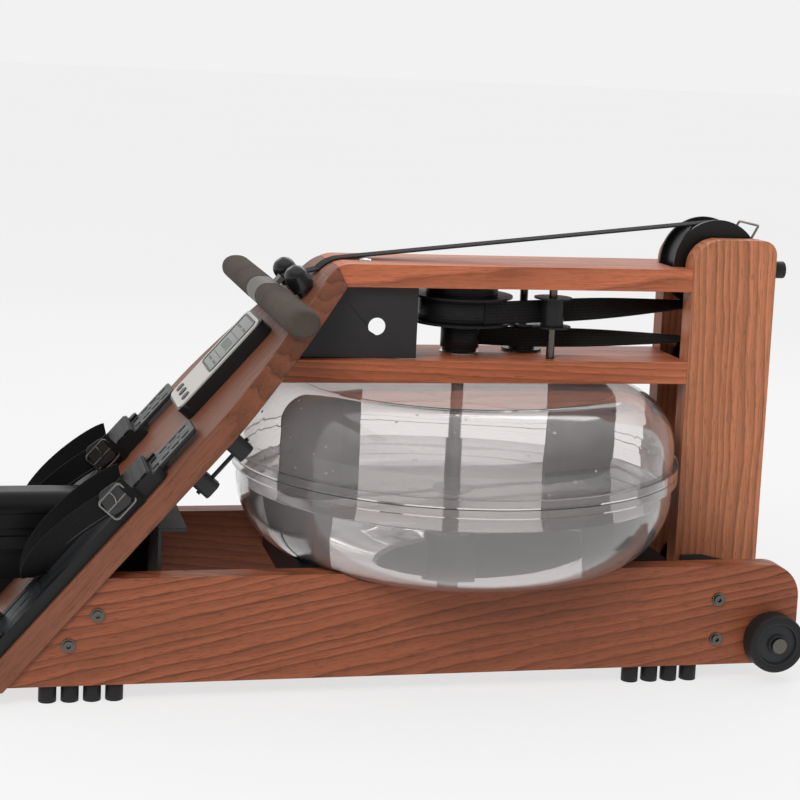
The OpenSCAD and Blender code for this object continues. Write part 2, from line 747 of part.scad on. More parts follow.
module wheel() rotate([90, 0, 0]) difference() {
    cylinder(r = wheel_r, h = 26, center = true);
    cylinder(r = 6 + run_fit, h = 40, center = true);
    for (z = [-15, 9]) translate([0, 0, z]) difference() {
        cylinder(r = 25, h = 6);
        translate([0, 0, -1]) cylinder(r = 11, h = 8);
    }
}

module wheel_right() color(soft_black) from_tank() translate([wheel_x, -175.5, wheel_z]) wheel();
module wheel_left() color(soft_black) from_tank() translate([wheel_x, 175.5, wheel_z]) wheel();

module wheel_axles() color([0.4, 0.4, 0.4]) from_tank() both_sides() {
    y_rod(wheel_x, wheel_z, wheel_axle_r, base_hw - board_t - 4, 190.5);
    y_rod(wheel_x, wheel_z, 9, 190.5, 193);
    y_rod(wheel_x, wheel_z, 10, base_hw, 161);
    y_rod(wheel_x, wheel_z, 10, base_hw - board_t - 7, base_hw - board_t);
}

// Rail and seat

module rail_section() difference() {
    union() {
        translate([-rail_w / 2, lip_z]) square([rail_w, head_h]);
        translate([-web_w / 2, rail_top - rail_h]) square([web_w, rail_h - head_h + 1]);
    }
    corner_cut(-rail_w / 2, rail_top, 1, -1, 20);
    corner_cut(rail_w / 2, rail_top, -1, -1, 20);
    for (side = [-1, 1]) {
        translate([side * rail_w / 2 - 4, 156]) square([8, 11]);
        translate([side * rail_w / 2 - 1, 182.4]) square([2, 1.6]);
    }
    translate([-14, rail_top - rail_h + 8]) square([28, 76]);
}

module x_extrude(x0, x1) translate([x0, 0, 0]) rotate([90, 0, 90]) linear_extrude(x1 - x0) children();

module monorail() color([0.1, 0.1, 0.105]) from_tank() x_extrude(rail_x0, rail_x1) rail_section();

// End cap on the rail, and the blocks under its lips that stop the seat
module rail_stops() color(soft_black) from_tank() {
    x_extrude(rear_x, rail_x0) difference() {
        translate([-rail_w / 2, rail_top - rail_h]) square([rail_w, rail_h]);
        corner_cut(-rail_w / 2, rail_top, 1, -1, 20);
        corner_cut(rail_w / 2, rail_top, -1, -1, 20);
    }
    for (x = [-seat_x + seat_fore + 104, -seat_x - seat_aft - 120]) both_sides()
        translate([x, web_w / 2, lip_z - 18]) cube([16, 10, 16]);
}

module rear_leg() color(walnut) from_tank() x_extrude(rear_x + 62, rear_x + 62 + board_t) polygon([
    [-150, foot_h], [150, foot_h], [150, foot_h + 34], [60, rail_top - rail_h],
    [-60, rail_top - rail_h], [-150, foot_h + 34]
]);

module seat_pad() color([0.09, 0.09, 0.09]) from_tank() translate([-seat_x, 0, 252.5]) difference() {
    linear_extrude(50) difference() {
        round_plate(seat_d, seat_w, 60);
        translate([-seat_d / 2 - 12, 0]) circle(34);
    }
    translate([-200, 0, 118]) rotate([0, 90, 0]) cylinder(r = 78, h = 400);
}

module seat_carriage() color([0.12, 0.12, 0.12]) from_tank() translate([-seat_x, 0, 0]) {
    difference() {
        union() {
            translate([-100, -44, 238]) cube([200, 88, 5]);
            for (side = [-1, 1]) translate([-100, side > 0 ? 38 : -42, 120]) cube([200, 4, 119]);
        }
        for (x = [-axle_span, axle_span]) for (z = [rail_top + roller_r, lip_z - guide_r])
            y_rod(x, z, 4, -60, 60);
        for (side = [-1, 1]) slab(side > 0 ? 30 : -50, side > 0 ? 50 : -30)
            translate([0, 175]) square([70, 74], center = true);
    }
    translate([0, 0, 243]) linear_extrude(9.2) round_plate(seat_d - 16, seat_w - 20, 50);
}

// A roller on the rail's crown, turning with its axle
module seat_roller(x) color([0.75, 0.75, 0.72]) from_tank() translate([x - seat_x, 0, 0]) {
    y_rod(0, rail_top + roller_r, roller_r - 0.02, -11, 11);
    y_rod(0, rail_top + roller_r, 4 - run_fit, -45, 45);
}

// A pair of rollers under the rail's lips, each with its stub axle
module guide_rollers(x) color([0.75, 0.75, 0.72]) from_tank() translate([x - seat_x, 0, 0]) both_sides() {
    y_rod(0, lip_z - guide_r, guide_r - 0.02, web_w / 2 + 1, rail_w / 2 + 2);
    y_rod(0, lip_z - guide_r, 4 - run_fit, rail_w / 2 + 1, 45);
}

module seat_roller_front() seat_roller(axle_span);
module seat_roller_rear() seat_roller(-axle_span);
module guide_rollers_front() guide_rollers(axle_span);
module guide_rollers_rear() guide_rollers(-axle_span);

base_board_right();
base_board_left();
footboard();
top_deck();
lower_deck();
post_right();
post_left();
bracket_plates();
cross_members();
tank_cradles();
tank_upper_shell();
tank_lower_shell();
tank_seal();
tank_plug();
water();
paddle();
shaft_bearing();
clutch_pulley();
idler_near();
idler_far();
pulley_axles();
top_pulley();
recoil_spool();
turn_roller();
drive_strap();
pull_strap();
recoil_belt();
shock_cord();
strap_bail();
post_bumpers();
handle_bar();
handle_grips();
handle_sleeve();
handle_knobs();
monitor_housing();
monitor_face();
button_left();
button_middle();
button_right();
foot_base_right();
foot_base_left();
heel_slide_right();
heel_slide_left();
toe_strap_right();
toe_strap_left();
underside_catch();
frame_bolts();
rubber_feet();
wheel_right();
wheel_left();
wheel_axles();
monorail();
rail_stops();
rear_leg();
seat_pad();
seat_carriage();
seat_roller_front();
seat_roller_rear();
guide_rollers_front();
guide_rollers_rear();
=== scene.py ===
"""Looks for the rowing machine: walnut, clear tank, webbing, foam, moulded plastic and upholstery."""

import math
import random

import bmesh
import bpy
from mathutils import Matrix, Vector
from mathutils.bvhtree import BVHTree


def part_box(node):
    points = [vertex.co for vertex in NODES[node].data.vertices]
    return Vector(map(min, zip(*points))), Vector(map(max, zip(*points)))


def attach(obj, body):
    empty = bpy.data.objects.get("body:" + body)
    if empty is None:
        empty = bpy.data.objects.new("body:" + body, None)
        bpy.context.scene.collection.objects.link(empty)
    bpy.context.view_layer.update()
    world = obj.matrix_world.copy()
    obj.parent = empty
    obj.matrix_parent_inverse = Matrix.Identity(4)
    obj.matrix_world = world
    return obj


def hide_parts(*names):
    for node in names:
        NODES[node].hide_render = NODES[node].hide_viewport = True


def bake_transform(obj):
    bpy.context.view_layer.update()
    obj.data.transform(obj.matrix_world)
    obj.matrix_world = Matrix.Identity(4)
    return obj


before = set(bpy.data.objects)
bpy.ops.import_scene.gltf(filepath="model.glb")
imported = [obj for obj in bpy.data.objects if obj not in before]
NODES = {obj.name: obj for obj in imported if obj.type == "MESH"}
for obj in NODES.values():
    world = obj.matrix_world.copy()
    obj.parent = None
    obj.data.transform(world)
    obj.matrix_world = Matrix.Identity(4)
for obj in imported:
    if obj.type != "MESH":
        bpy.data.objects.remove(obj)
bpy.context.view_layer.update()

# ---------------------------------------------------------------- places, from the CAD source
TANK_X = 0.653
SLOPE = math.radians(48.7)
FACE_X0 = -0.5922
TANK = Matrix.Translation((TANK_X, 0, 0))
BOARD = Matrix.Translation((TANK_X + FACE_X0, 0, 0)) @ Matrix.Rotation(-SLOPE, 4, "Y")
MM = 0.001


def mm(*p):
    return Vector([c * MM for c in p])


# ---------------------------------------------------------------- material helpers
class Net:
    """A material's node net, ending in a Principled shader."""

    def __init__(self, name, **settings):
        self.material = bpy.data.materials.new(name)
        self.material.use_nodes = True
        self.tree = self.material.node_tree
        self.tree.nodes.clear()
        self.out = self.tree.nodes.new("ShaderNodeOutputMaterial")
        self.shader = self.add("BsdfPrincipled")
        self.tree.links.new(self.shader.outputs[0], self.out.inputs["Surface"])
        self.coords = self.add("TexCoord").outputs["Object"]
        for key, value in settings.items():
            self.shader.inputs[key.replace("_", " ")].default_value = value

    def add(self, kind, **settings):
        node = self.tree.nodes.new("ShaderNode" + kind)
        for key, value in settings.items():
            setattr(node, key, value)
        return node

    def put(self, socket, value):
        if isinstance(value, bpy.types.NodeSocket):
            self.tree.links.new(value, socket)
        else:
            socket.default_value = value

    def set(self, key, value):
        self.put(self.shader.inputs[key], value)

    def mapping(self, vector=None, scale=(1, 1, 1), turn=(0, 0, 0), move=(0, 0, 0)):
        node = self.add("Mapping")
        self.put(node.inputs["Vector"], vector or self.coords)
        node.inputs["Scale"].default_value = scale
        node.inputs["Rotation"].default_value = [math.radians(a) for a in turn]
        node.inputs["Location"].default_value = move
        return node.outputs[0]

    def noise(self, vector, scale, detail=2.0, rough=0.5, bend=0.0, colour=False):
        node = self.add("TexNoise")
        self.put(node.inputs["Vector"], vector)
        node.inputs["Scale"].default_value = scale
        node.inputs["Detail"].default_value = detail
        node.inputs["Roughness"].default_value = rough
        node.inputs["Distortion"].default_value = bend
        return node.outputs["Color" if colour else "Fac"]

    def cells(self, vector, scale, feature="F1", jitter=1.0):
        node = self.add("TexVoronoi", feature=feature)
        self.put(node.inputs["Vector"], vector)
        node.inputs["Scale"].default_value = scale
        node.inputs["Randomness"].default_value = jitter
        return node.outputs["Distance"]

    def math(self, operation, a, b=0.0, c=0.0):
        node = self.add("Math", operation=operation)
        for socket, value in zip(node.inputs, (a, b, c)):
            self.put(socket, value)
        return node.outputs[0]

    def vector(self, operation, a, b=(0, 0, 0)):
        node = self.add("VectorMath", operation=operation)
        self.put(node.inputs[0], a)
        self.put(node.inputs[1], b)
        return node.outputs["Value" if operation == "LENGTH" else "Vector"]

    def parts(self, vector):
        node = self.add("SeparateXYZ")
        self.put(node.inputs[0], vector)
        return node.outputs

    def ramp(self, value, *stops):
        node = self.add("ValToRGB")
        self.put(node.inputs[0], value)
        band = node.color_ramp
        while len(band.elements) < len(stops):
            band.elements.new(0.5)
        for element, (place, colour) in zip(band.elements, stops):
            element.position = place
            shade = (colour,) * 3 if isinstance(colour, (int, float)) else colour
            element.color = (*shade, 1)
        return node.outputs[0]

    def span(self, value, low, high, out_low=0.0, out_high=1.0):
        node = self.add("MapRange")
        for socket, number in zip(node.inputs, (value, low, high, out_low, out_high)):
            self.put(socket, number)
        return node.outputs[0]

    def blend(self, factor, a, b, how="MIX"):
        node = self.add("Mix", data_type="RGBA", blend_type=how)
        self.put(node.inputs[0], factor)
        for socket, value in ((node.inputs[6], a), (node.inputs[7], b)):
            self.put(socket, (*value, 1) if isinstance(value, tuple) else value)
        return node.outputs[2]

    def bump(self, height, depth, strength=1.0, under=None):
        node = self.add("Bump")
        node.inputs["Strength"].default_value = strength
        node.inputs["Distance"].default_value = depth
        self.put(node.inputs["Height"], height)
        if under is not None:
            self.put(node.inputs["Normal"], under)
        return node.outputs[0]


def scaled(colour, k):
    return tuple(min(1.0, c * k) for c in colour)


def walnut(name, tone, turn, pith, spacing=0.009, wander=0.02, seed=0.0, contrast=1.0):
    """Solid walnut: growth rings round a pith line, fibre streaks and open pores, all along the grain."""
    net = Net(name, IOR=1.48, Specular_IOR_Level=0.28)
    grain = net.mapping(turn=turn, move=(seed, pith[0], pith[1]))
    drift = net.noise(net.mapping(grain, scale=(1.6, 6, 6)), 1.0, 3.0, 0.5, colour=True)
    drift = net.vector("MULTIPLY", net.vector("SUBTRACT", drift, (0.5, 0.5, 0.5)), (0, wander, wander))
    flow = net.vector("ADD", grain, drift)
    radius = net.vector("LENGTH", net.vector("MULTIPLY", flow, (0, 1, 1)))
    ripple = net.noise(net.mapping(grain, scale=(14, 60, 60)), 1.0, 3.0, 0.6)
    turns = net.math("MULTIPLY_ADD", radius, 1 / spacing, net.math("MULTIPLY", ripple, 0.5))
    widths = net.noise(net.mapping(flow, scale=(0.4, 22, 22)), 1.0, 2.0)
    turns = net.math("ADD", turns, net.math("MULTIPLY", widths, 3.0))
    ring = net.math("FRACT", turns)
    light = scaled(tone, 1.28)
    dark = scaled(tone, 0.62 - 0.12 * contrast)
    wood = net.ramp(
        ring, (0.0, scaled(tone, 0.9)), (0.12, light), (0.55, tone),
        (0.86, scaled(tone, 0.78)), (0.95, dark), (1.0, scaled(tone, 0.86))
    )
    broad = net.noise(net.mapping(grain, scale=(1.2, 9, 9)), 1.3, 3.0, 0.55)
    wood = net.blend(net.span(broad, 0.35, 0.7, 0.0, 0.55), wood, scaled(tone, 0.74), "MIX")
    bright = net.noise(net.mapping(grain, scale=(2.2, 30, 30), move=(3, 1, 2)), 1.0, 2.0)
    wood = net.blend(net.span(bright, 0.52, 0.75, 0.0, 0.4), wood, light)
    fibre = net.noise(net.mapping(grain, scale=(9, 420, 420)), 1.0, 4.0, 0.65)
    wood = net.blend(0.85, wood, net.ramp(fibre, (0.3, 0.66), (0.5, 0.98), (0.72, 1.0)), "MULTIPLY")
    pores = net.noise(net.mapping(grain, scale=(55, 1300, 1300)), 1.0, 1.0)
    pit = net.span(pores, 0.60, 0.70)
    wood = net.blend(net.math("MULTIPLY", pit, 0.55), wood, scaled(tone, 0.32))
    net.set("Base Color", wood)
    net.set("Roughness", net.span(fibre, 0.3, 0.7, 0.5, 0.36))
    relief = net.bump(net.math("SUBTRACT", fibre, pit), 0.00012, 0.55)
    net.set("Normal", net.bump(ring, 0.00006, 0.4, relief))
    return net.material


def plastic(name, colour, rough=0.45, grain=0.00008, scale=900, mottle=0.12, **settings):
    """Moulded plastic, rubber or paint: a fine grain in the surface, with soft wear in its sheen."""
    net = Net(name, **{"Specular_IOR_Level": 0.3, **settings})
    fine = net.noise(net.coords, scale, 3.0, 0.6)
    wide = net.noise(net.coords, 14.0, 4.0, 0.6)
    shade = net.ramp(wide, (0.3, scaled(colour, 1 - mottle)), (0.7, scaled(colour, 1 + mottle)))
    net.set("Base Color", shade)
    net.set("Roughness", net.span(wide, 0.3, 0.7, rough - 0.05, rough + 0.07))
    net.set("Normal", net.bump(fine, grain, 0.6))
    return net.material


def metal(name, colour, rough=0.25, across=(1, 1, 1), lines=700):
    """Turned or drawn metal: fine lines along one direction."""
    net = Net(name, Metallic=1.0)
    marks = net.noise(net.mapping(scale=across), lines, 3.0, 0.6)
    net.set("Base Color", net.ramp(marks, (0.3, scaled(colour, 0.86)), (0.7, scaled(colour, 1.1))))
    net.set("Roughness", net.span(marks, 0.3, 0.7, rough - 0.06, rough + 0.09))
    net.set("Normal", net.bump(marks, 0.00003, 0.35))
    return net.material


def webbing(name, colour, rib=0.0022):
    """Woven belt: cross ribs with a twill break, from the strap's own length and width in metres."""
    net = Net(name, Roughness=0.7, Specular_IOR_Level=0.12)
    place = net.add("UVMap").outputs[0]
    u, v = net.parts(place)[:2]
    across = net.math("SINE", net.math("MULTIPLY", u, 2 * math.pi / rib))
    along = net.math("SINE", net.math("MULTIPLY", v, 2 * math.pi / (rib * 1.4)))
    weave = net.math("MULTIPLY_ADD", across, 0.6, net.math("MULTIPLY", along, 0.4))
    fuzz = net.noise(net.coords, 1600, 2.0)
    height = net.math("MULTIPLY_ADD", fuzz, 0.7, weave)
    # Base colour from the weave height: painted shade in the weave's hollows and a painted highlight on its
    # raised ribs, on top of the bump below
    net.set("Base Color", net.ramp(
        net.span(height, -0.8, 1.4), (0.0, scaled(colour, 0.45)), (0.6, colour), (1.0, scaled(colour, 1.7))
    ))
    net.set("Normal", net.bump(height, 0.00025, 0.8))
    return net.material


def clear(name, tint, ior, haze=0.0, swirl=0.0):
    """Clear moulded wall or liquid, a little hazy, with a slow unevenness in its thickness."""
    net = Net(name, IOR=ior, Roughness=0.01)
    net.shader.inputs["Transmission Weight"].default_value = 1.0 - haze
    wide = net.noise(net.mapping(scale=(1, 1, 1.6)), 7.0, 2.0)
    net.set("Base Color", net.ramp(wide, (0.3, tint), (0.7, scaled(tint, 0.99))))
    net.set("Normal", net.bump(wide, swirl, 0.5))
    return net.material


def foam(name, colour):
    """Closed-cell grip foam: a matt skin with small open cells."""
    net = Net(name, Roughness=0.85, Specular_IOR_Level=0.15)
    pits = net.cells(net.coords, 1500)
    wide = net.noise(net.coords, 30.0, 3.0)
    shade = net.ramp(wide, (0.3, scaled(colour, 0.85)), (0.7, scaled(colour, 1.15)))
    # The open cells are painted darker than the skin round them: painted shade in their hollows
    net.set("Base Color", net.blend(net.span(pits, 0.0, 0.25, 0.35, 0.0), shade, scaled(colour, 0.4)))
    net.set("Normal", net.bump(pits, 0.00022, 0.7))
    return net.material


def leather(name, colour):
    """Upholstery leather: pebbled grain with creases and a soft sheen."""
    net = Net(name, IOR=1.5)
    net.shader.inputs["Coat Weight"].default_value = 0.12
    net.shader.inputs["Coat Roughness"].default_value = 0.4
    pebble = net.cells(net.mapping(scale=(1, 1, 1.2)), 420, "DISTANCE_TO_EDGE")
    crease = net.noise(net.coords, 34.0, 5.0, 0.65)
    wide = net.noise(net.coords, 8.0, 2.0)
    net.set("Base Color", net.ramp(wide, (0.3, scaled(colour, 0.8)), (0.7, scaled(colour, 1.3))))
    net.set("Roughness", net.span(crease, 0.3, 0.7, 0.42, 0.6))
    relief = net.bump(net.span(pebble, 0.0, 0.12), 0.00018, 0.6)
    net.set("Normal", net.bump(crease, 0.0006, 0.3, relief))
    return net.material


def zigzag_grip(name, colour):
    """Moulded grip pad: rows of raised zigzag dashes, in the piece's own directions."""
    net = Net(name, Roughness=0.5, Specular_IOR_Level=0.25)
    x, y, _ = net.parts(net.coords)
    swing = net.math("PINGPONG", net.math("MULTIPLY", x, 1.0), 0.0028)
    row = net.math("ADD", y, net.math("MULTIPLY", swing, 1.0))
    lines = net.math("SINE", net.math("MULTIPLY", row, 2 * math.pi / 0.0056))
    gaps = net.math("SINE", net.math("MULTIPLY", x, 2 * math.pi / 0.0125))
    ridge = net.math("MULTIPLY", net.span(lines, 0.1, 0.7), net.span(gaps, -0.75, -0.4))
    fine = net.noise(net.coords, 900, 2.0)
    # The raised dashes are painted lighter and the grooves darker: painted highlight on the dashes and
    # painted shade between them
    net.set("Base Color", net.ramp(ridge, (0.0, scaled(colour, 0.25)), (1.0, scaled(colour, 3.2))))
    net.set("Normal", net.bump(ridge, 0.0011, 0.9, net.bump(fine, 0.00006, 0.5)))
    return net.material


def ribbed(name, colour, pitch, rough=0.4):
    """Moulded drum: fine ribs round its axis."""
    net = Net(name, Roughness=rough, Specular_IOR_Level=0.2)
    z = net.parts(net.coords)[2]
    ribs = net.math("SINE", net.math("MULTIPLY", z, 2 * math.pi / pitch))
    fine = net.noise(net.coords, 800, 3.0)
    # Rib crests painted lighter and the troughs darker: painted highlight and painted shade following the
    # ribs
    shade = net.ramp(net.span(ribs, -1, 1), (0.0, scaled(colour, 0.8)), (1.0, scaled(colour, 1.15)))
    net.set("Base Color", shade)
    net.set("Normal", net.bump(ribs, 0.0002, 0.35, net.bump(fine, 0.00006, 0.5)))
    return net.material


# ---------------------------------------------------------------- materials
RED_WALNUT = (0.270, 0.080, 0.037)
PALE_WALNUT = (0.460, 0.170, 0.083)
DEEP_WALNUT = (0.185, 0.066, 0.036)
# Each board: tone, turn of the grain in degrees, pith line, ring spacing, wander, seed, contrast
BOARDS = {
    "base_board_right": (RED_WALNUT, (0, 9, 3), (0.05, 0.16), 0.0105, 0.055, 0.4, 2.2),
    "base_board_left": (RED_WALNUT, (0, -5, -3), (-0.06, 0.1), 0.010, 0.05, 2.1, 2.0),
    "post_right": (PALE_WALNUT, (0, 92, 2), (0.066, 0.30), 0.010, 0.05, 1.2, 0.7),
    "post_left": (PALE_WALNUT, (0, 88, -2), (-0.05, 0.33), 0.010, 0.05, 5.2, 0.7),
    "top_deck": (scaled(RED_WALNUT, 1.75), (3, 1, 2), (0.01, -0.44), 0.008, 0.03, 3.3, 0.8),
    "lower_deck": (scaled(RED_WALNUT, 1.8), (-4, -1, 1), (0.03, -0.30), 0.008, 0.03, 4.7, 0.8),
    "footboard": (DEEP_WALNUT, (0, 50, 1), (0.02, 0.05), 0.011, 0.035, 6.1, 0.8),
    "rear_leg": (RED_WALNUT, (0, 90, 0), (0.03, 0.95), 0.009, 0.03, 7.4, 1.0),
}
WOOD = {node: walnut(f"walnut_{node}", *grain) for node, grain in BOARDS.items()}
BLACK = plastic("black_plastic", (0.008, 0.008, 0.009), 0.42)
SATIN = plastic("satin_black_plastic", (0.009, 0.009, 0.009), 0.30, 0.00005, 600)
STEEL = plastic("black_powder_coat", (0.024, 0.022, 0.023), 0.55, 0.00016, 1500, Specular_IOR_Level=0.4)
RUBBER = plastic("moulded_rubber", (0.013, 0.012, 0.012), 0.55, 0.0001, 1200)
KNOB = plastic("glossy_knob", (0.010, 0.010, 0.010), 0.20, 0.00002, 500, Specular_IOR_Level=0.45)
GREY = plastic("grey_plastic", (0.034, 0.034, 0.037), 0.40)
SLATE = plastic("slate_plastic", (0.020, 0.021, 0.023), 0.36, 0.00006)
PADDLE = plastic("paddle_grey", (0.44, 0.43, 0.43), 0.40, 0.00005, 500)
SLEEVE = plastic("sleeve_grey", (0.090, 0.080, 0.070), 0.42, 0.00012, 1500)
NYLON = plastic("roller_nylon", (0.62, 0.61, 0.57), 0.35)
RAIL = plastic("black_anodised", (0.006, 0.006, 0.006), 0.26, 0.00003, 1800, Specular_IOR_Level=0.14)
PALE = plastic("display_film", (0.44, 0.42, 0.39), 0.30, 0.00002, 500, 0.03)
LCD = plastic("display_glass", (0.115, 0.125, 0.11), 0.16, 0.00001, 400, 0.05)
MARK = plastic("display_marks", (0.045, 0.048, 0.045), 0.35, 0.00001, 400)
NICKEL = metal("black_nickel", (0.13, 0.12, 0.11), 0.28)
BRIGHT = metal("bright_steel", (0.62, 0.60, 0.57), 0.24)
WIRE = metal("dark_wire", (0.24, 0.23, 0.22), 0.22)
TUBE = metal("drawn_tube", (0.70, 0.70, 0.71), 0.3, (900, 8, 900), 1.0)
BELT = webbing("belt_webbing", (0.016, 0.015, 0.015), 0.0026)
STRAP = webbing("strap_webbing", (0.009, 0.009, 0.009), 0.0019)
TONGUE = leather("tongue_leather", (0.016, 0.015, 0.015))
SEAT = leather("seat_leather", (0.020, 0.019, 0.019))
THREAD = plastic("stitch_thread", (0.07, 0.07, 0.07), 0.7, 0.0002, 2500)
FOAM = foam("grip_foam", (0.066, 0.053, 0.044))
DRUM = ribbed("drum_ribs", (0.010, 0.010, 0.010), 0.0035)
GRIP = zigzag_grip("collar_grip", (0.016, 0.015, 0.015))
TANK_CLEAR = clear("tank_clear", (0.97, 0.945, 0.94), 1.45, 0.05, 0.0012)
WATER = clear("water_clear", (0.88, 0.87, 0.87), 1.33, 0.20, 0.0006)
DROPS = clear("droplets_clear", (0.98, 0.98, 0.98), 1.33)

CAD_LOOKS = {
    "bracket_plates": STEEL, "cross_members": STEEL, "tank_cradles": BLACK, "tank_seal": RUBBER,
    "tank_plug": RUBBER, "water": WATER, "tank_upper_shell": TANK_CLEAR, "tank_lower_shell": TANK_CLEAR,
    "paddle": PADDLE, "shaft_bearing": BRIGHT, "clutch_pulley": DRUM,
    "idler_near": SATIN, "idler_far": SATIN, "pulley_axles": NICKEL, "top_pulley": SATIN,
    "recoil_spool": SATIN, "turn_roller": SATIN,
    "strap_bail": WIRE, "post_bumpers": RUBBER, "handle_bar": TUBE, "handle_sleeve": SLEEVE,
    "handle_knobs": KNOB, "monitor_housing": SATIN, "monitor_face": PALE, "button_left": GREY,
    "button_middle": GREY, "button_right": GREY, "foot_base_right": BLACK, "foot_base_left": BLACK,
    "underside_catch": GREY, "frame_bolts": NICKEL, "rubber_feet": RUBBER, "wheel_axles": NICKEL,
    "monorail": RAIL, "rail_stops": BLACK, "seat_carriage": STEEL, "seat_roller_front": NYLON,
    "seat_roller_rear": NYLON, "guide_rollers_front": NYLON, "guide_rollers_rear": NYLON,
}
CAD_LOOKS.update(WOOD)
for node, look in CAD_LOOKS.items():
    NODES[node].data.materials.clear()
    NODES[node].data.materials.append(look)


# ---------------------------------------------------------------- softened CAD edges
def soften(node, width, segments=3, angle=40):
    obj = NODES[node]
    weld = obj.modifiers.new("weld", "WELD")
    weld.merge_threshold = 0.00001
    bevel = obj.modifiers.new("edges", "BEVEL")
    bevel.width = width
    bevel.segments = segments
    bevel.limit_method = "ANGLE"
    bevel.angle_limit = math.radians(angle)
    bevel.harden_normals = True
    bevel.use_clamp_overlap = True


for node in WOOD:
    soften(node, 0.0016)
for node in ("monitor_housing", "underside_catch"):
    soften(node, 0.0032, 4)
for node in (
    "rubber_feet", "post_bumpers", "frame_bolts", "cross_members", "bracket_plates", "monitor_face"
):
    soften(node, 0.0006, 2)
for node in ("foot_base_right", "foot_base_left"):
    soften(node, 0.0016, 3)


# ---------------------------------------------------------------- mesh helpers
def place(obj, look, body, slot=None, stands_for=(), smooth=True, matrix=None):
    if matrix is not None:
        obj.matrix_world = matrix
    if obj.name not in bpy.context.scene.collection.objects:
        bpy.context.scene.collection.objects.link(obj)
    obj.data.materials.clear()
    obj.data.materials.append(look)
    if smooth:
        for face in obj.data.polygons:
            face.use_smooth = True
    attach(obj, body)
    if stands_for:
        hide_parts(*stands_for)
    return obj


def mesh_object(name, verts, faces, uvs=None):
    mesh = bpy.data.meshes.new(name)
    mesh.from_pydata([tuple(v) for v in verts], [], faces)
    if uvs is not None:
        layer = mesh.uv_layers.new(name="UVMap")
        for loop in mesh.loops:
            layer.data[loop.index].uv = uvs[loop.vertex_index]
    mesh.update()
    obj = bpy.data.objects.new(name, mesh)
    bpy.context.scene.collection.objects.link(obj)
    return obj


def ring_faces(rings, n):
    """Faces of a skin between rings of n points each."""
    return [
        (j * n + i, j * n + (i + 1) % n, (j + 1) * n + (i + 1) % n, (j + 1) * n + i)
        for j in range(rings) for i in range(n)
    ]


def lathe(name, profile, steps=72):
    """A turned form round its own Z. The profile is a closed loop of (radius, height) in mm."""
    verts, faces = [], []
    n = len(profile)
    for i in range(steps):
        a = 2 * math.pi * i / steps
        verts += [mm(r * math.cos(a), r * math.sin(a), h) for r, h in profile]
    for i in range(steps):
        j = (i + 1) % steps
        for k in range(n):
            m = (k + 1) % n
            faces.append((i * n + k, j * n + k, j * n + m, i * n + m))
    return mesh_object(name, verts, faces)


def sharpen(obj, angle=35):
    """Keeps the creases of a smooth-shaded piece."""
    bm = bmesh.new()
    bm.from_mesh(obj.data)
    for edge in bm.edges:
        edge.smooth = not (len(edge.link_faces) == 2 and edge.calc_face_angle(0) > math.radians(angle))
    bm.to_mesh(obj.data)
    bm.free()
    return obj


def band(name, path, sides, width, thick, closed=False):
    """A flat strap along a path in metres. sides gives its width direction at each point."""
    half, edge = width / 2, min(thick * 0.45, width * 0.1)
    flat = thick / 2
    section = [
        (-half, -flat + edge), (-half + edge, -flat), (0, -flat), (half - edge, -flat),
        (half, -flat + edge), (half, flat - edge), (half - edge, flat), (0, flat),
        (-half + edge, flat), (-half, flat - edge)
    ]
    n, m = len(path), len(section)
    verts, uvs, run = [], [], 0.0
    for i, p in enumerate(path):
        before = path[i - 1] if i or closed else p
        after = path[(i + 1) % n] if i < n - 1 or closed else p
        ahead = (after - before).normalized()
        side = (sides[i] - ahead * sides[i].dot(ahead)).normalized()
        up = ahead.cross(side)
        if i:
            run += (p - path[i - 1]).length
        for a, b in section:
            verts.append(p + side * a + up * b)
            uvs.append((run, a))
    faces = []
    for i in range(n if closed else n - 1):
        j = (i + 1) % n
        faces += [(i * m + k, j * m + k, j * m + (k + 1) % m, i * m + (k + 1) % m) for k in range(m)]
    if not closed:
        faces += [tuple(range(m - 1, -1, -1)), tuple((n - 1) * m + k for k in range(m))]
    return sharpen(mesh_object(name, verts, faces, uvs), 50)


def wire(name, points, radius, closed=False, bend=True, res=4):
    """Round wire or cord through points in metres, as a mesh."""
    curve = bpy.data.curves.new(name, "CURVE")
    curve.dimensions = "3D"
    curve.bevel_depth = radius
    curve.bevel_resolution = res
    curve.use_fill_caps = True
    kind = "BEZIER" if bend else "POLY"
    spline = curve.splines.new(kind)
    store = spline.bezier_points if bend else spline.points
    store.add(len(points) - 1)
    for item, p in zip(store, points):
        if bend:
            item.co = p
            item.handle_left_type = item.handle_right_type = "AUTO"
        else:
            item.co = (*p, 1)
    spline.use_cyclic_u = closed
    spline.resolution_u = 8
    return to_mesh(name, curve)


def to_mesh(name, curve):
    source = bpy.data.objects.new(name + "_curve", curve)
    bpy.context.scene.collection.objects.link(source)
    bpy.context.view_layer.update()
    graph = bpy.context.evaluated_depsgraph_get()
    mesh = bpy.data.meshes.new_from_object(source.evaluated_get(graph))
    bpy.data.objects.remove(source)
    bpy.data.curves.remove(curve)
    mesh.name = name
    obj = bpy.data.objects.new(name, mesh)
    bpy.context.scene.collection.objects.link(obj)
    return obj


def rounded(x0, y0, x1, y1, r, steps=6):
    """Points of a rectangle with round corners, in mm."""
    out = []
    corners = ((x1 - r, y1 - r), (x0 + r, y1 - r), (x0 + r, y0 + r), (x1 - r, y0 + r))
    for a0, (cx, cy) in zip((0, 90, 180, 270), corners):
        for i in range(steps + 1):
            a = math.radians(a0 + 90 * i / steps)
            out.append((cx + r * math.cos(a), cy + r * math.sin(a)))
    return out


def slot_shape(x, y, length, width, steps=5):
    return rounded(x - length / 2, y - width / 2, x + length / 2, y + width / 2, width / 2 - 0.01, steps)


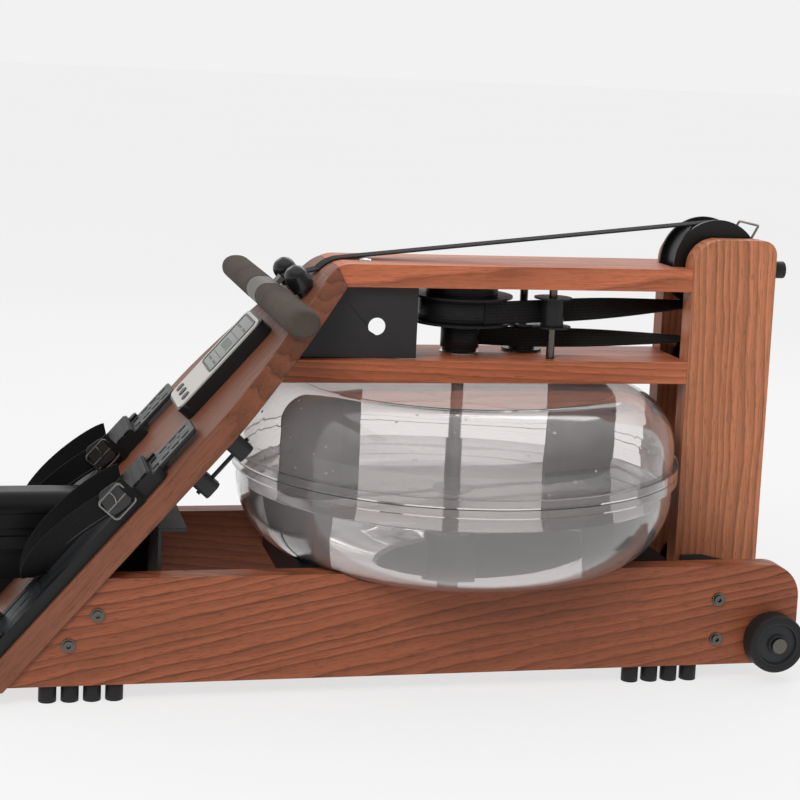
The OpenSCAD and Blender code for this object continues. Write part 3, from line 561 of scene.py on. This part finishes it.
def plate(name, outline, holes, z0, z1, edge=0.6):
    """A flat plate with holes, in mm in its own XY, from z0 to z1, with eased edges."""
    curve = bpy.data.curves.new(name, "CURVE")
    curve.dimensions = "2D"
    curve.fill_mode = "BOTH"
    curve.extrude = ((z1 - z0) / 2 - edge) * MM
    curve.bevel_depth = edge * MM
    curve.bevel_resolution = 2
    curve.offset = -edge * MM
    for loop in [outline, *holes]:
        spline = curve.splines.new("POLY")
        spline.points.add(len(loop) - 1)
        for item, (x, y) in zip(spline.points, loop):
            item.co = (x * MM, y * MM, 0, 1)
        spline.use_cyclic_u = True
    obj = to_mesh(name, curve)
    obj.data.transform(Matrix.Translation((0, 0, (z0 + z1) / 2 * MM)))
    bm = bmesh.new()
    bm.from_mesh(obj.data)
    bmesh.ops.remove_doubles(bm, verts=bm.verts, dist=0.00002)
    bmesh.ops.recalc_face_normals(bm, faces=bm.faces)
    bm.to_mesh(obj.data)
    bm.free()
    return sharpen(obj, 40)


def joined(name, objs):
    """Several meshes in one piece."""
    bm = bmesh.new()
    for o in objs:
        part = o.data.copy()
        part.transform(o.matrix_world)
        bm.from_mesh(part)
        bpy.data.meshes.remove(part)
    mesh = bpy.data.meshes.new(name)
    bm.to_mesh(mesh)
    bm.free()
    for o in objs:
        bpy.data.objects.remove(o)
    obj = bpy.data.objects.new(name, mesh)
    bpy.context.scene.collection.objects.link(obj)
    return obj


def detail(obj, level=1):
    mod = obj.modifiers.new("smooth", "SUBSURF")
    mod.levels = mod.render_levels = level
    return obj


# ---------------------------------------------------------------- belts
BELT_T, LIFT = 2.0, 1.3
CORNER_X, CORNER_R, DECK_TOP = -167.9, 40.0, 483.0


def on_arc(cx, cz, r, a0, a1, n):
    return [Vector((cx + r * math.cos(math.radians(a)), 0, cz + r * math.sin(math.radians(a))))
            for a in [a0 + (a1 - a0) * i / n for i in range(n + 1)]]


def on_line(a, b, n):
    return [a.lerp(b, i / n) for i in range(n + 1)]


def twisted(n):
    return [Vector((0, math.cos(math.pi / 2 * i / n), math.sin(math.pi / 2 * i / n))) for i in range(n + 1)]


def belt(name, path, sides, width, node):
    obj = band(name, [p * MM for p in path], sides, width * MM, BELT_T * MM)
    return place(obj, BELT, "frame", "webbing", (node,), smooth=False, matrix=TANK)


ACROSS, UP = Vector((0, 1, 0)), Vector((0, 0, 1))
edge_x, edge_z = CORNER_X + CORNER_R * math.tan(SLOPE / 2), DECK_TOP - CORNER_R
entry = 90 + math.degrees(math.atan((537.3 - DECK_TOP - LIFT) / (318 - edge_x)))
over = on_arc(edge_x, edge_z, CORNER_R + LIFT, 90 + math.degrees(SLOPE), entry, 24)
over += on_arc(318, 486, 50 + LIFT, entry, -90, 40)
idler = Vector((104, -38 + 14 + LIFT + 1, 425.5))
leave = math.radians(17)
wound = [idler - Vector((5.2, 0.9, 0)), Vector((53 * math.sin(leave), -53 * math.cos(leave), idler.z))]
belt("drive_belt", over + on_line(Vector((312, 0, 486 - 50 - LIFT)), idler, 40) + wound,
     [ACROSS] * len(over) + twisted(40) + [UP] * 2, 28, "drive_strap")

down = [Vector((318 + 26 + LIFT, 0, z)) for z in (200, 240, 280, 320)]
down += on_arc(318, 362, 26 + LIFT, 0, 90, 20)
idler = Vector((86, 22 - 16 - LIFT - 0.5, 389))
belt("recoil_strap", down + on_line(Vector((312, 0, 388 + LIFT)), idler, 36) + [Vector((4.9, 23, 389))],
     [ACROSS] * len(down) + twisted(36) + [UP], 24, "recoil_belt")

# Layers of belt wound on the drum and the hub
wraps = []
for k, (radius, z0, z1) in enumerate(((52.4, 411.6, 439.4), (23.6, 377.5, 400.5))):
    coil = lathe(f"wrap_{k}", [(radius - 2, z0), (radius - 0.3, z0), (radius, z0 + 0.4),
                               (radius, z1 - 0.4), (radius - 0.3, z1), (radius - 2, z1)], 96)
    wraps.append(coil)
place(joined("wound_belts", wraps), DRUM, "clutch_pulley", "webbing", matrix=TANK)

# The stretch of strap between the rounded edge and the handle
def board_point(s, h):
    return BOARD @ mm(s, 0, h)


start = board_point(642.9 - 40 * math.tan(SLOPE / 2), LIFT)
end = board_point(590.5, 25)
run = [start.lerp(end, i / 40) for i in range(41)]
pull = band("pull_webbing", run, [ACROSS] * 41, 28 * MM, BELT_T * MM)
pull.data.materials.append(BELT)
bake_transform(pull)
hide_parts("pull_strap")

# Elastic cord from the recoil strap's end, round the turn roller and back to the rail
drop = [Vector((348.3, 0, z)) for z in range(199, 98, -8)]
bend = [Vector((318 + 30.3 * math.cos(a), 0, 98 - 30.3 * math.sin(a)))
        for a in [math.radians(6 * i) for i in range(16)]]
back = [Vector((x, 0, 67.7)) for x in range(310, -369, -20)] + [Vector((-369, 0, 67.7))]
route = [TANK @ (p * MM) for p in drop + bend + back]
bungee = wire("shock_cord_sleeve", route, 4 * MM, bend=False, res=5)
place(bungee, STRAP, "frame", "webbing", ("shock_cord",))
clip = lathe("belt_clamp", [(4.1, 186), (6, 186), (6.5, 187), (6.5, 205), (6, 206), (4.1, 206)], 40)
place(sharpen(clip), NICKEL, "frame", "black_steel", matrix=TANK @ Matrix.Translation((0.3483, 0, 0)))


# ---------------------------------------------------------------- foot rests
def strap_route(n):
    """Centre line and width direction of a toe strap in the foot rest's own mm."""
    path, sides = [], []
    for i in range(n + 1):
        a = math.pi * i / n
        lie = math.radians(52) * math.sin(a) ** 2
        path.append(Vector((
            296 - 140 * max(0.0, math.sin(a)) ** 1.3, 45.5 * math.cos(a),
            21 + 17 * abs(math.sin(2 * a)) + 4 * math.sin(a)
        )))
        sides.append(Vector((-math.sin(lie), 0, math.cos(lie))))
    return path, sides


def heel_cup(name):
    """A half-round cup that is high at the heel and falls away to the sides, with a rolled rim."""
    verts, n = [], 36
    for i in range(n + 1):
        t = i / n
        a = math.radians(100 + 160 * t)
        swell = math.sin(math.pi * t)
        top = 20 + 38 * swell ** 0.8
        lean = 3.0 * swell
        inner, outer = 36.5, 41.5
        foot = 14.6 if abs(t - 0.5) > 0.2 else 11.4
        ring = [
            (outer - 1, foot), (outer + lean * 0.4, top * 0.5),
            (outer + lean, top - 2.5), (outer + lean + 0.8, top), (outer + lean - 0.6, top + 1.2),
            (inner + lean - 0.6, top + 0.8), (inner + lean, top - 2), (inner + lean * 0.3, top * 0.5),
            (inner, foot)
        ]
        verts += [mm(100 + r * math.cos(a), r * math.sin(a) * 0.92, h) for r, h in ring]
    m = len(ring)
    faces = ring_faces(n, m)
    faces += [tuple(range(m - 1, -1, -1)), tuple(n * m + k for k in range(m))]
    return mesh_object(name, verts, faces)


def foot_rest(side, y):
    label = "right" if y < 0 else "left"
    here = BOARD @ Matrix.Translation((0, y * MM, 0))
    body = f"heel_slide_{label}"

    holes = [slot_shape(s, v, 12, 4.6) for s in (352, 368, 384) for v in (-15, 15)]
    holes += [rounded(331.5, v - 5, 340.5, v + 5, 1.2, 3) for v in (-15, 15)]
    holes += [slot_shape(s, 0, 3.4, 3.2) for s in (360, 376)]
    holes += [slot_shape(s, v, 12, 4.6) for s in (276, 260) for v in (-15, 15)]
    strip = plate(f"foot_strip_{label}", rounded(70, -27.6, 397, 27.6, 5), holes, 6.5, 11.3, 1.0)
    place(strip, SLATE, body, "grey_plastic", (f"heel_slide_{label}",), matrix=here)
    cup = detail(heel_cup(f"heel_cup_{label}"))
    place(cup, SLATE, body, "grey_plastic", matrix=here)
    sole_edge = rounded(66, -27.6, 150, 27.6, 12)
    sole = plate(f"heel_sole_{label}", sole_edge, [slot_shape(128, 0, 18, 6)], 11.0, 13.4, 0.9)
    place(sole, SLATE, body, "grey_plastic", matrix=here)

    pad = plate(f"collar_pad_{label}", rounded(293.5, -40.5, 328.5, 40.5, 3), [], 18.6, 21.4, 1.0)
    place(pad, GRIP, "frame", "black_plastic", matrix=here)

    path, sides = strap_route(72)
    strap = band(f"toe_webbing_{label}", [p * MM for p in path], sides, 28 * MM, 2.2 * MM)
    place(strap, STRAP, "frame", "webbing", (f"toe_strap_{label}",), smooth=False, matrix=here)
    hem = []
    for edge in (-11.5, 11.5):
        line = [(p + w * edge) * MM for p, w in zip(path, sides)]
        hem.append(wire(f"hem_{edge}", line, 0.35 * MM, res=1))
        hem[-1].scale = (1, 1.032, 1)
    stitched = joined(f"toe_stitching_{label}", hem)
    place(stitched, THREAD, "frame", "webbing", matrix=here)

    # Buckle and tongue on the side that faces the machine's right
    turned = here @ Matrix.Translation(mm(284, -49.2, 24)) @ Matrix.Rotation(math.radians(90), 4, "X")
    ring = [Vector((x * MM, v * MM, 0)) for x, v in rounded(-16, -14.5, 16, 14.5, 4.5, 5)]
    frame_ring = wire("ring", ring, 1.55 * MM, closed=True, bend=False)
    bar = wire("bar", [mm(-16, 0, 0.2), mm(16, 0, 0.2)], 1.4 * MM, bend=False)
    prong = wire("prong", [mm(-2, 0, 1.6), mm(2, 7, 2.2), mm(2, 15.4, 1.2)], 1.1 * MM)
    place(joined(f"buckle_{label}", [frame_ring, bar, prong]), WIRE, "frame", "black_steel", matrix=turned)
    flap = plate(f"tongue_{label}", rounded(-15, -11, 15, 20, 9), [], -1.5, 0.9, 0.7)
    place(flap, TONGUE, "frame", "webbing", matrix=turned @ Matrix.Rotation(math.radians(-12), 4, "Z"))
    keeper = band(f"keeper_{label}", [mm(x, v, z) for x, v, z in (
        (15, -18, -2.6), (15, -18.4, 0.6), (15, 0, 2.6), (15, 18.4, 0.6), (15, 18, -2.6))],
        [Vector((1, 0, 0))] * 5, 9 * MM, 1.6 * MM)
    tucked = turned @ Matrix.Translation(mm(2, -3, -1))
    place(keeper, STRAP, "frame", "webbing", smooth=False, matrix=tucked)


foot_rest(-1, -112)
foot_rest(1, 112)

# ---------------------------------------------------------------- monitor
glass = plate("display_window", rounded(452, -35, 526, 35, 5), [], 18.7, 19.35, 0.3)
place(glass, LCD, "frame", "display", matrix=BOARD)
# Generic marks on the display: centre up the slope and across, then size each way
segments = [(512, 16, 3.2, 26), (512, -18, 3.2, 22), (500, 0, 1.2, 58)]
segments += [(486, y, 13, 4) for y in (18, 9, 0, -9, -18)]
segments += [(470, 0, 1.2, 58), (461, 16, 3, 22), (461, -16, 3, 22)]
bars = []
for k, (s, y, w, d) in enumerate(segments):
    outline = rounded(s - w / 2, y - d / 2, s + w / 2, y + d / 2, 0.5, 2)
    bars.append(plate(f"bar_{k}", outline, [], 19.3, 19.48, 0.05))
place(joined("display_bars", bars), MARK, "frame", "display", matrix=BOARD)
pane = rounded(452.2, -34.8, 525.8, 34.8, 5)
bezel = plate("display_bezel", rounded(449, -38, 529, 38, 7), [pane], 18.9, 19.7, 0.35)
place(bezel, SATIN, "frame", "black_plastic", matrix=BOARD)

# ---------------------------------------------------------------- handle
def grip(name, side):
    """Foam grip: an oval tube that rounds over at its outer end and tucks in at the sleeve."""
    lo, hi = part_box("handle_grips")
    centre = (lo + hi) / 2
    half_w, half_h = (hi.x - lo.x) / 2, (hi.z - lo.z) / 2
    inner, outer = 0.0322, hi.y
    cap = outer - inner
    stations = [(0.0, 0.55), (0.0004, 0.86), (0.0016, 0.965), (0.004, 1.0)]
    stations += [(0.004 + (cap - 0.018) * i / 14, 1.0) for i in range(1, 15)]
    stations += [(cap - 0.014 * (1 - math.sin(a)), 1 - 0.3 * (1 - math.cos(a)) ** 1.2)
                 for a in [math.radians(x) for x in (18, 36, 54, 70, 82)]]
    stations += [(cap, 0.45), (cap, 0.05)]
    verts, n = [], 40
    for along, k in stations:
        for i in range(n):
            a = 2 * math.pi * i / n
            c, s = math.cos(a), math.sin(a)
            x = half_w * k * math.copysign(abs(c) ** 0.86, c)
            z = half_h * k * math.copysign(abs(s) ** 0.94, s)
            verts.append(Vector((centre.x + x, side * (inner + along), centre.z + z)))
    faces = ring_faces(len(stations) - 1, n)
    last = (len(stations) - 1) * n
    faces += [tuple(range(n)), tuple(last + i for i in range(n))]
    obj = mesh_object(name, verts, faces)
    bm = bmesh.new()
    bm.from_mesh(obj.data)
    bmesh.ops.recalc_face_normals(bm, faces=bm.faces)
    bm.to_mesh(obj.data)
    bm.free()
    return obj


for label, side in (("right", -1), ("left", 1)):
    obj = grip(f"grip_foam_{label}", side)
    place(detail(obj), FOAM, "handle", "grip_foam", ("handle_grips",))

# ---------------------------------------------------------------- tank
def solid_of_revolution(name, profile, steps):
    obj = lathe(name, profile, steps)
    bm = bmesh.new()
    bm.from_mesh(obj.data)
    bmesh.ops.remove_doubles(bm, verts=bm.verts, dist=0.00001)
    bmesh.ops.dissolve_degenerate(bm, edges=bm.edges, dist=0.000001)
    bmesh.ops.recalc_face_normals(bm, faces=bm.faces)
    bm.to_mesh(obj.data)
    bm.free()
    return obj


# The water: bowl floor, bowl wall, the meniscus and the level surface
level, bowl_in, turn_at = 214.0, 83.6, 179
wall = [math.radians(-90 + 5 * i) for i in range(19)]
bowl = [(turn_at + bowl_in * math.cos(a), level + bowl_in * math.sin(a)) for a in wall]
under = [(r, level - bowl_in) for r in (0, 60, 120)]
meniscus = [(262.6, level + 1.6), (261.4, level + 0.6)]
surface = [(r, level) for r in (258, 180, 60, 0)]
water = solid_of_revolution("water_fill", under + bowl + meniscus + surface, 128)
place(sharpen(water, 50), WATER, "frame", "water", ("water",), matrix=TANK)


def droplets(name, count):
    """Beads of water on the inside of the dome, where the paddle has thrown them."""
    draw = random.Random(7)
    bm = bmesh.new()
    for _ in range(count):
        around = math.radians(draw.uniform(175, 365))
        rise = draw.uniform(0, 1)
        if rise < 0.45:
            r, z, tilt = 262.6, 255 + 28 * rise, 90.0
        else:
            a = math.radians(90 * (rise - 0.45) / 0.55)
            r, z, tilt = 197 + 65.6 * math.cos(a), 268 + 65.6 * math.sin(a), 90 - math.degrees(a)
        size = draw.uniform(0.7, 1.9) * MM
        bead = Matrix.Translation(mm(r * math.cos(around), r * math.sin(around), z))
        bead = bead @ Matrix.Rotation(around, 4, "Z") @ Matrix.Rotation(math.radians(tilt), 4, "Y")
        bead = bead @ Matrix.Diagonal((size, size * draw.uniform(0.9, 1.4), size * 0.5, 1))
        bmesh.ops.create_icosphere(bm, subdivisions=2, radius=1, matrix=bead)
    mesh = bpy.data.meshes.new(name)
    bm.to_mesh(mesh)
    bm.free()
    obj = bpy.data.objects.new(name, mesh)
    bpy.context.scene.collection.objects.link(obj)
    return obj


place(droplets("water_droplets", 70), DROPS, "frame", "water", matrix=TANK)

# ---------------------------------------------------------------- wheels and small fittings
TREAD = [(26, -12.2), (31, -13), (33.6, -12.2), (34.8, -9.5), (35, -6)]
TYRE = TREAD + [(r, -h) for r, h in reversed(TREAD)]
HUB = [(6.05, -12.6), (10.5, -12.9), (11.5, -12.2), (12, -8.5), (23, -8), (24.4, -11.6), (26, -12),
       (26, 12), (24.4, 11.6), (23, 8), (12, 8.5), (11.5, 12.2), (10.5, 12.9), (6.05, 12.6)]
for label, y in (("right", -175.5), ("left", 175.5)):
    at = TANK @ Matrix.Translation(mm(358, y, 52)) @ Matrix.Rotation(math.radians(90), 4, "X")
    wheel = f"wheel_{label}"
    place(sharpen(lathe(f"tyre_{label}", TYRE, 96), 50), RUBBER, wheel, "black_rubber", (wheel,), matrix=at)
    place(sharpen(lathe(f"wheel_hub_{label}", HUB, 96), 30), SLATE, wheel, "black_rubber", matrix=at)

# A cup washer with a countersunk socket screw in it
CUP = [(0.3, -0.2), (8.2, -0.2), (8.0, 0.7), (6.4, 1.7), (5.0, 1.9), (4.6, 1.4)]
CUP += [(4.2, 2.2), (3.0, 2.6), (2.3, 2.5), (1.9, 0.9), (0.3, 0.8)]
screws = []
for k, y in enumerate((-18, 18)):
    cup = lathe(f"cup_{k}", CUP, 40)
    cup.matrix_world = Matrix.Translation(mm(-126, y, 483.2))
    screws.append(cup)
place(sharpen(joined("deck_screws", screws), 30), BRIGHT, "frame", "bright_steel", matrix=TANK)


# ---------------------------------------------------------------- seat
def seat_cushion():
    """The seat's padding: blown up a little as cloth over its own form, then held flat underneath."""
    lo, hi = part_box("seat_pad")
    mid, half = (lo + hi) / 2, (hi - lo) / 2
    inset, n, rings = 0.004, 48, 10
    verts, corner = [], 0.6
    for j in range(rings + 1):
        t = j / rings
        z = lo.z + 0.0008 + (hi.z - lo.z - 0.006) * t
        pinch = 1 - 0.035 * math.cos(math.pi * t) ** 4
        for i in range(n):
            a = 2 * math.pi * i / n
            c, s = math.cos(a), math.sin(a)
            x = (half.x - inset) * pinch * math.copysign(abs(c) ** corner, c)
            y = (half.y - inset) * pinch * math.copysign(abs(s) ** corner, s)
            verts.append(Vector((mid.x + x, mid.y + y, z)))
    faces = ring_faces(rings, n)
    faces += [tuple(range(n - 1, -1, -1)), tuple(rings * n + i for i in range(n))]
    obj = mesh_object("seat_cushion", verts, faces)
    voxel = obj.modifiers.new("voxel", "REMESH")
    voxel.mode = "VOXEL"
    voxel.voxel_size = 0.005
    graph = bpy.context.evaluated_depsgraph_get()
    mesh = bpy.data.meshes.new_from_object(obj.evaluated_get(graph))
    obj.modifiers.clear()
    obj.data = mesh
    before = [v.co.copy() for v in mesh.vertices]
    cloth = obj.modifiers.new("cloth", "CLOTH")
    cloth.settings.use_pressure = True
    cloth.settings.uniform_pressure_force = 4.0
    cloth.settings.effector_weights.gravity = 0.0
    cloth.settings.tension_stiffness = 12
    cloth.point_cache.frame_end = 20
    for number in range(1, 21):
        bpy.context.scene.frame_set(number)
    graph = bpy.context.evaluated_depsgraph_get()
    blown = bpy.data.meshes.new_from_object(obj.evaluated_get(graph))
    obj.modifiers.clear()
    obj.data = blown
    bpy.context.scene.frame_set(1)
    for v, old in zip(obj.data.vertices, before):
        step = v.co - old
        if step.length > 0.006:
            step.length = 0.006
        p = old + step
        u, w = (p.x - mid.x) / half.x, (p.y - mid.y) / half.y
        top = max(0.0, (old.z - lo.z) / (hi.z - lo.z) - 0.55) / 0.45
        thighs = sum(math.exp(-(((w + side * 0.42) * 2.6) ** 2)) for side in (-1, 1))
        dish = 0.010 * math.exp(-((u * 1.3) ** 2)) * thighs
        p.z -= top * (dish + 0.004 * math.exp(-((w * 6) ** 2)) * (1 - 0.4 * u))
        p.z = max(p.z, lo.z + 0.0006)
        p.z = min(p.z, hi.z)
        v.co = p
    bm = bmesh.new()
    bm.from_mesh(obj.data)
    for _ in range(8):
        bmesh.ops.smooth_vert(
            bm, verts=bm.verts, factor=0.5, use_axis_x=True, use_axis_y=True, use_axis_z=True
        )
    bm.to_mesh(obj.data)
    bm.free()
    return detail(obj)


seat = place(seat_cushion(), SEAT, "seat", "seat_leather", ("seat_pad",))


def seat_seam(name, height, radius):
    """A cord of piping that lies on the cushion's own side, all the way round."""
    lo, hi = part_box("seat_pad")
    mid = (lo + hi) / 2
    bm = bmesh.new()
    bm.from_mesh(seat.data)
    skin = BVHTree.FromBMesh(bm)
    bm.free()
    loop = []
    for i in range(96):
        a = 2 * math.pi * i / 96
        out = Vector((math.cos(a), math.sin(a), 0))
        start = Vector((mid.x, mid.y, lo.z + height)) + out * 0.3
        loop.append(skin.ray_cast(start, -out)[0] - out * radius * 0.3)
    return wire(name, loop, radius, closed=True, bend=False, res=3)


place(seat_seam("seat_piping", 0.024, 0.0016), SEAT, "seat", "seat_leather")

# ---------------------------------------------------------------- stage, light and camera
def floor():
    """A plain pale floor that takes only a soft contact shadow."""
    net = Net("stage_floor", Roughness=0.9)
    soft = net.noise(net.coords, 0.6, 2.0)
    net.set("Base Color", net.ramp(soft, (0.3, 0.178), (0.7, 0.186)))
    net.shader.inputs["Specular IOR Level"].default_value = 0.0
    net.shader.inputs["Emission Color"].default_value = (1, 1, 1, 1)
    net.shader.inputs["Emission Strength"].default_value = 0.712
    far, z = 60, -0.0002
    corners = [(-far, -far, z), (far, -far, z), (far, far, z), (-far, far, z)]
    obj = mesh_object("stage_floor", corners, [(0, 1, 2, 3)])
    obj.data.materials.append(net.material)


def sky():
    """A studio that is pale behind the machine and overhead, and darker behind the camera."""
    world = bpy.data.worlds.new("studio")
    bpy.context.scene.world = world
    world.use_nodes = True
    tree = world.node_tree
    tree.nodes.clear()
    coords = tree.nodes.new("ShaderNodeTexCoord")
    split = tree.nodes.new("ShaderNodeSeparateXYZ")
    side = tree.nodes.new("ShaderNodeValToRGB")
    high = tree.nodes.new("ShaderNodeValToRGB")
    both = tree.nodes.new("ShaderNodeMix")
    both.data_type = "RGBA"
    both.blend_type = "LIGHTEN"
    both.inputs[0].default_value = 1.0
    shift = tree.nodes.new("ShaderNodeMapRange")
    shift.inputs[1].default_value = -1.0
    back = tree.nodes.new("ShaderNodeBackground")
    out = tree.nodes.new("ShaderNodeOutputWorld")
    tree.links.new(coords.outputs["Generated"], split.inputs[0])
    tree.links.new(split.outputs[1], shift.inputs[0])
    tree.links.new(shift.outputs[0], side.inputs[0])
    tree.links.new(split.outputs[2], high.inputs[0])
    tree.links.new(side.outputs[0], both.inputs[6])
    tree.links.new(high.outputs[0], both.inputs[7])
    tree.links.new(both.outputs[2], back.inputs[0])
    tree.links.new(back.outputs[0], out.inputs[0])
    for ramp, low, high_at, dark, light in ((side, 0.30, 0.62, 0.34, 0.887), (high, 0.35, 0.75, 0.0, 1.0)):
        for element, place_at, level in zip(ramp.color_ramp.elements, (low, high_at), (dark, light)):
            element.position = place_at
            element.color = (level, level, level, 1)


def area(name, place_at, aim, size, power, shows=True):
    """A soft light. With shows off, it isn't mirrored in gloss or seen through clear walls."""
    light = bpy.data.lights.new(name, "AREA")
    light.shape = "RECTANGLE"
    light.size, light.size_y = size
    light.energy = power
    obj = bpy.data.objects.new(name, light)
    obj.location = place_at
    obj.rotation_mode = "QUATERNION"
    obj.rotation_quaternion = (Vector(aim) - Vector(place_at)).to_track_quat("-Z", "Y")
    obj.visible_glossy = obj.visible_transmission = shows
    bpy.context.scene.collection.objects.link(obj)


def camera():
    yaw, pitch, roll, focal = 0.2284, -0.1225, 0.0447, 1807.4
    ahead = Vector((math.sin(yaw) * math.cos(pitch), math.cos(yaw) * math.cos(pitch), math.sin(pitch)))
    level = Vector((math.cos(yaw), -math.sin(yaw), 0))
    rise = level.cross(ahead)
    right = level * math.cos(roll) + rise * math.sin(roll)
    up = rise * math.cos(roll) - level * math.sin(roll)
    data = bpy.data.cameras.new("camera")
    data.sensor_width = 36
    data.lens = focal * 36 / 800
    data.shift_x, data.shift_y = 0.02, -0.15
    data.clip_start, data.clip_end = 0.05, 200
    obj = bpy.data.objects.new("camera", data)
    turn = Matrix((right, up, -ahead)).transposed().to_4x4()
    obj.matrix_world = Matrix.Translation((0.0663, -2.1026, 0.7232)) @ turn
    bpy.context.scene.collection.objects.link(obj)
    bpy.context.scene.camera = obj


floor()
sky()
area("key", (-1.0, -2.2, 2.4), (0.5, 0, 0.25), (1.6, 1.2), 62, False)
area("rim", (1.6, 1.8, 2.0), (0.6, 0, 0.3), (1.8, 1.0), 14)
camera()

scene = bpy.context.scene
scene.view_settings.view_transform = "Standard"
scene.cycles.use_denoising = True
scene.cycles.max_bounces = 16
scene.cycles.transmission_bounces = 14
scene.cycles.transparent_max_bounces = 16
scene.cycles.caustics_refractive = True
scene.cycles.caustics_reflective = False
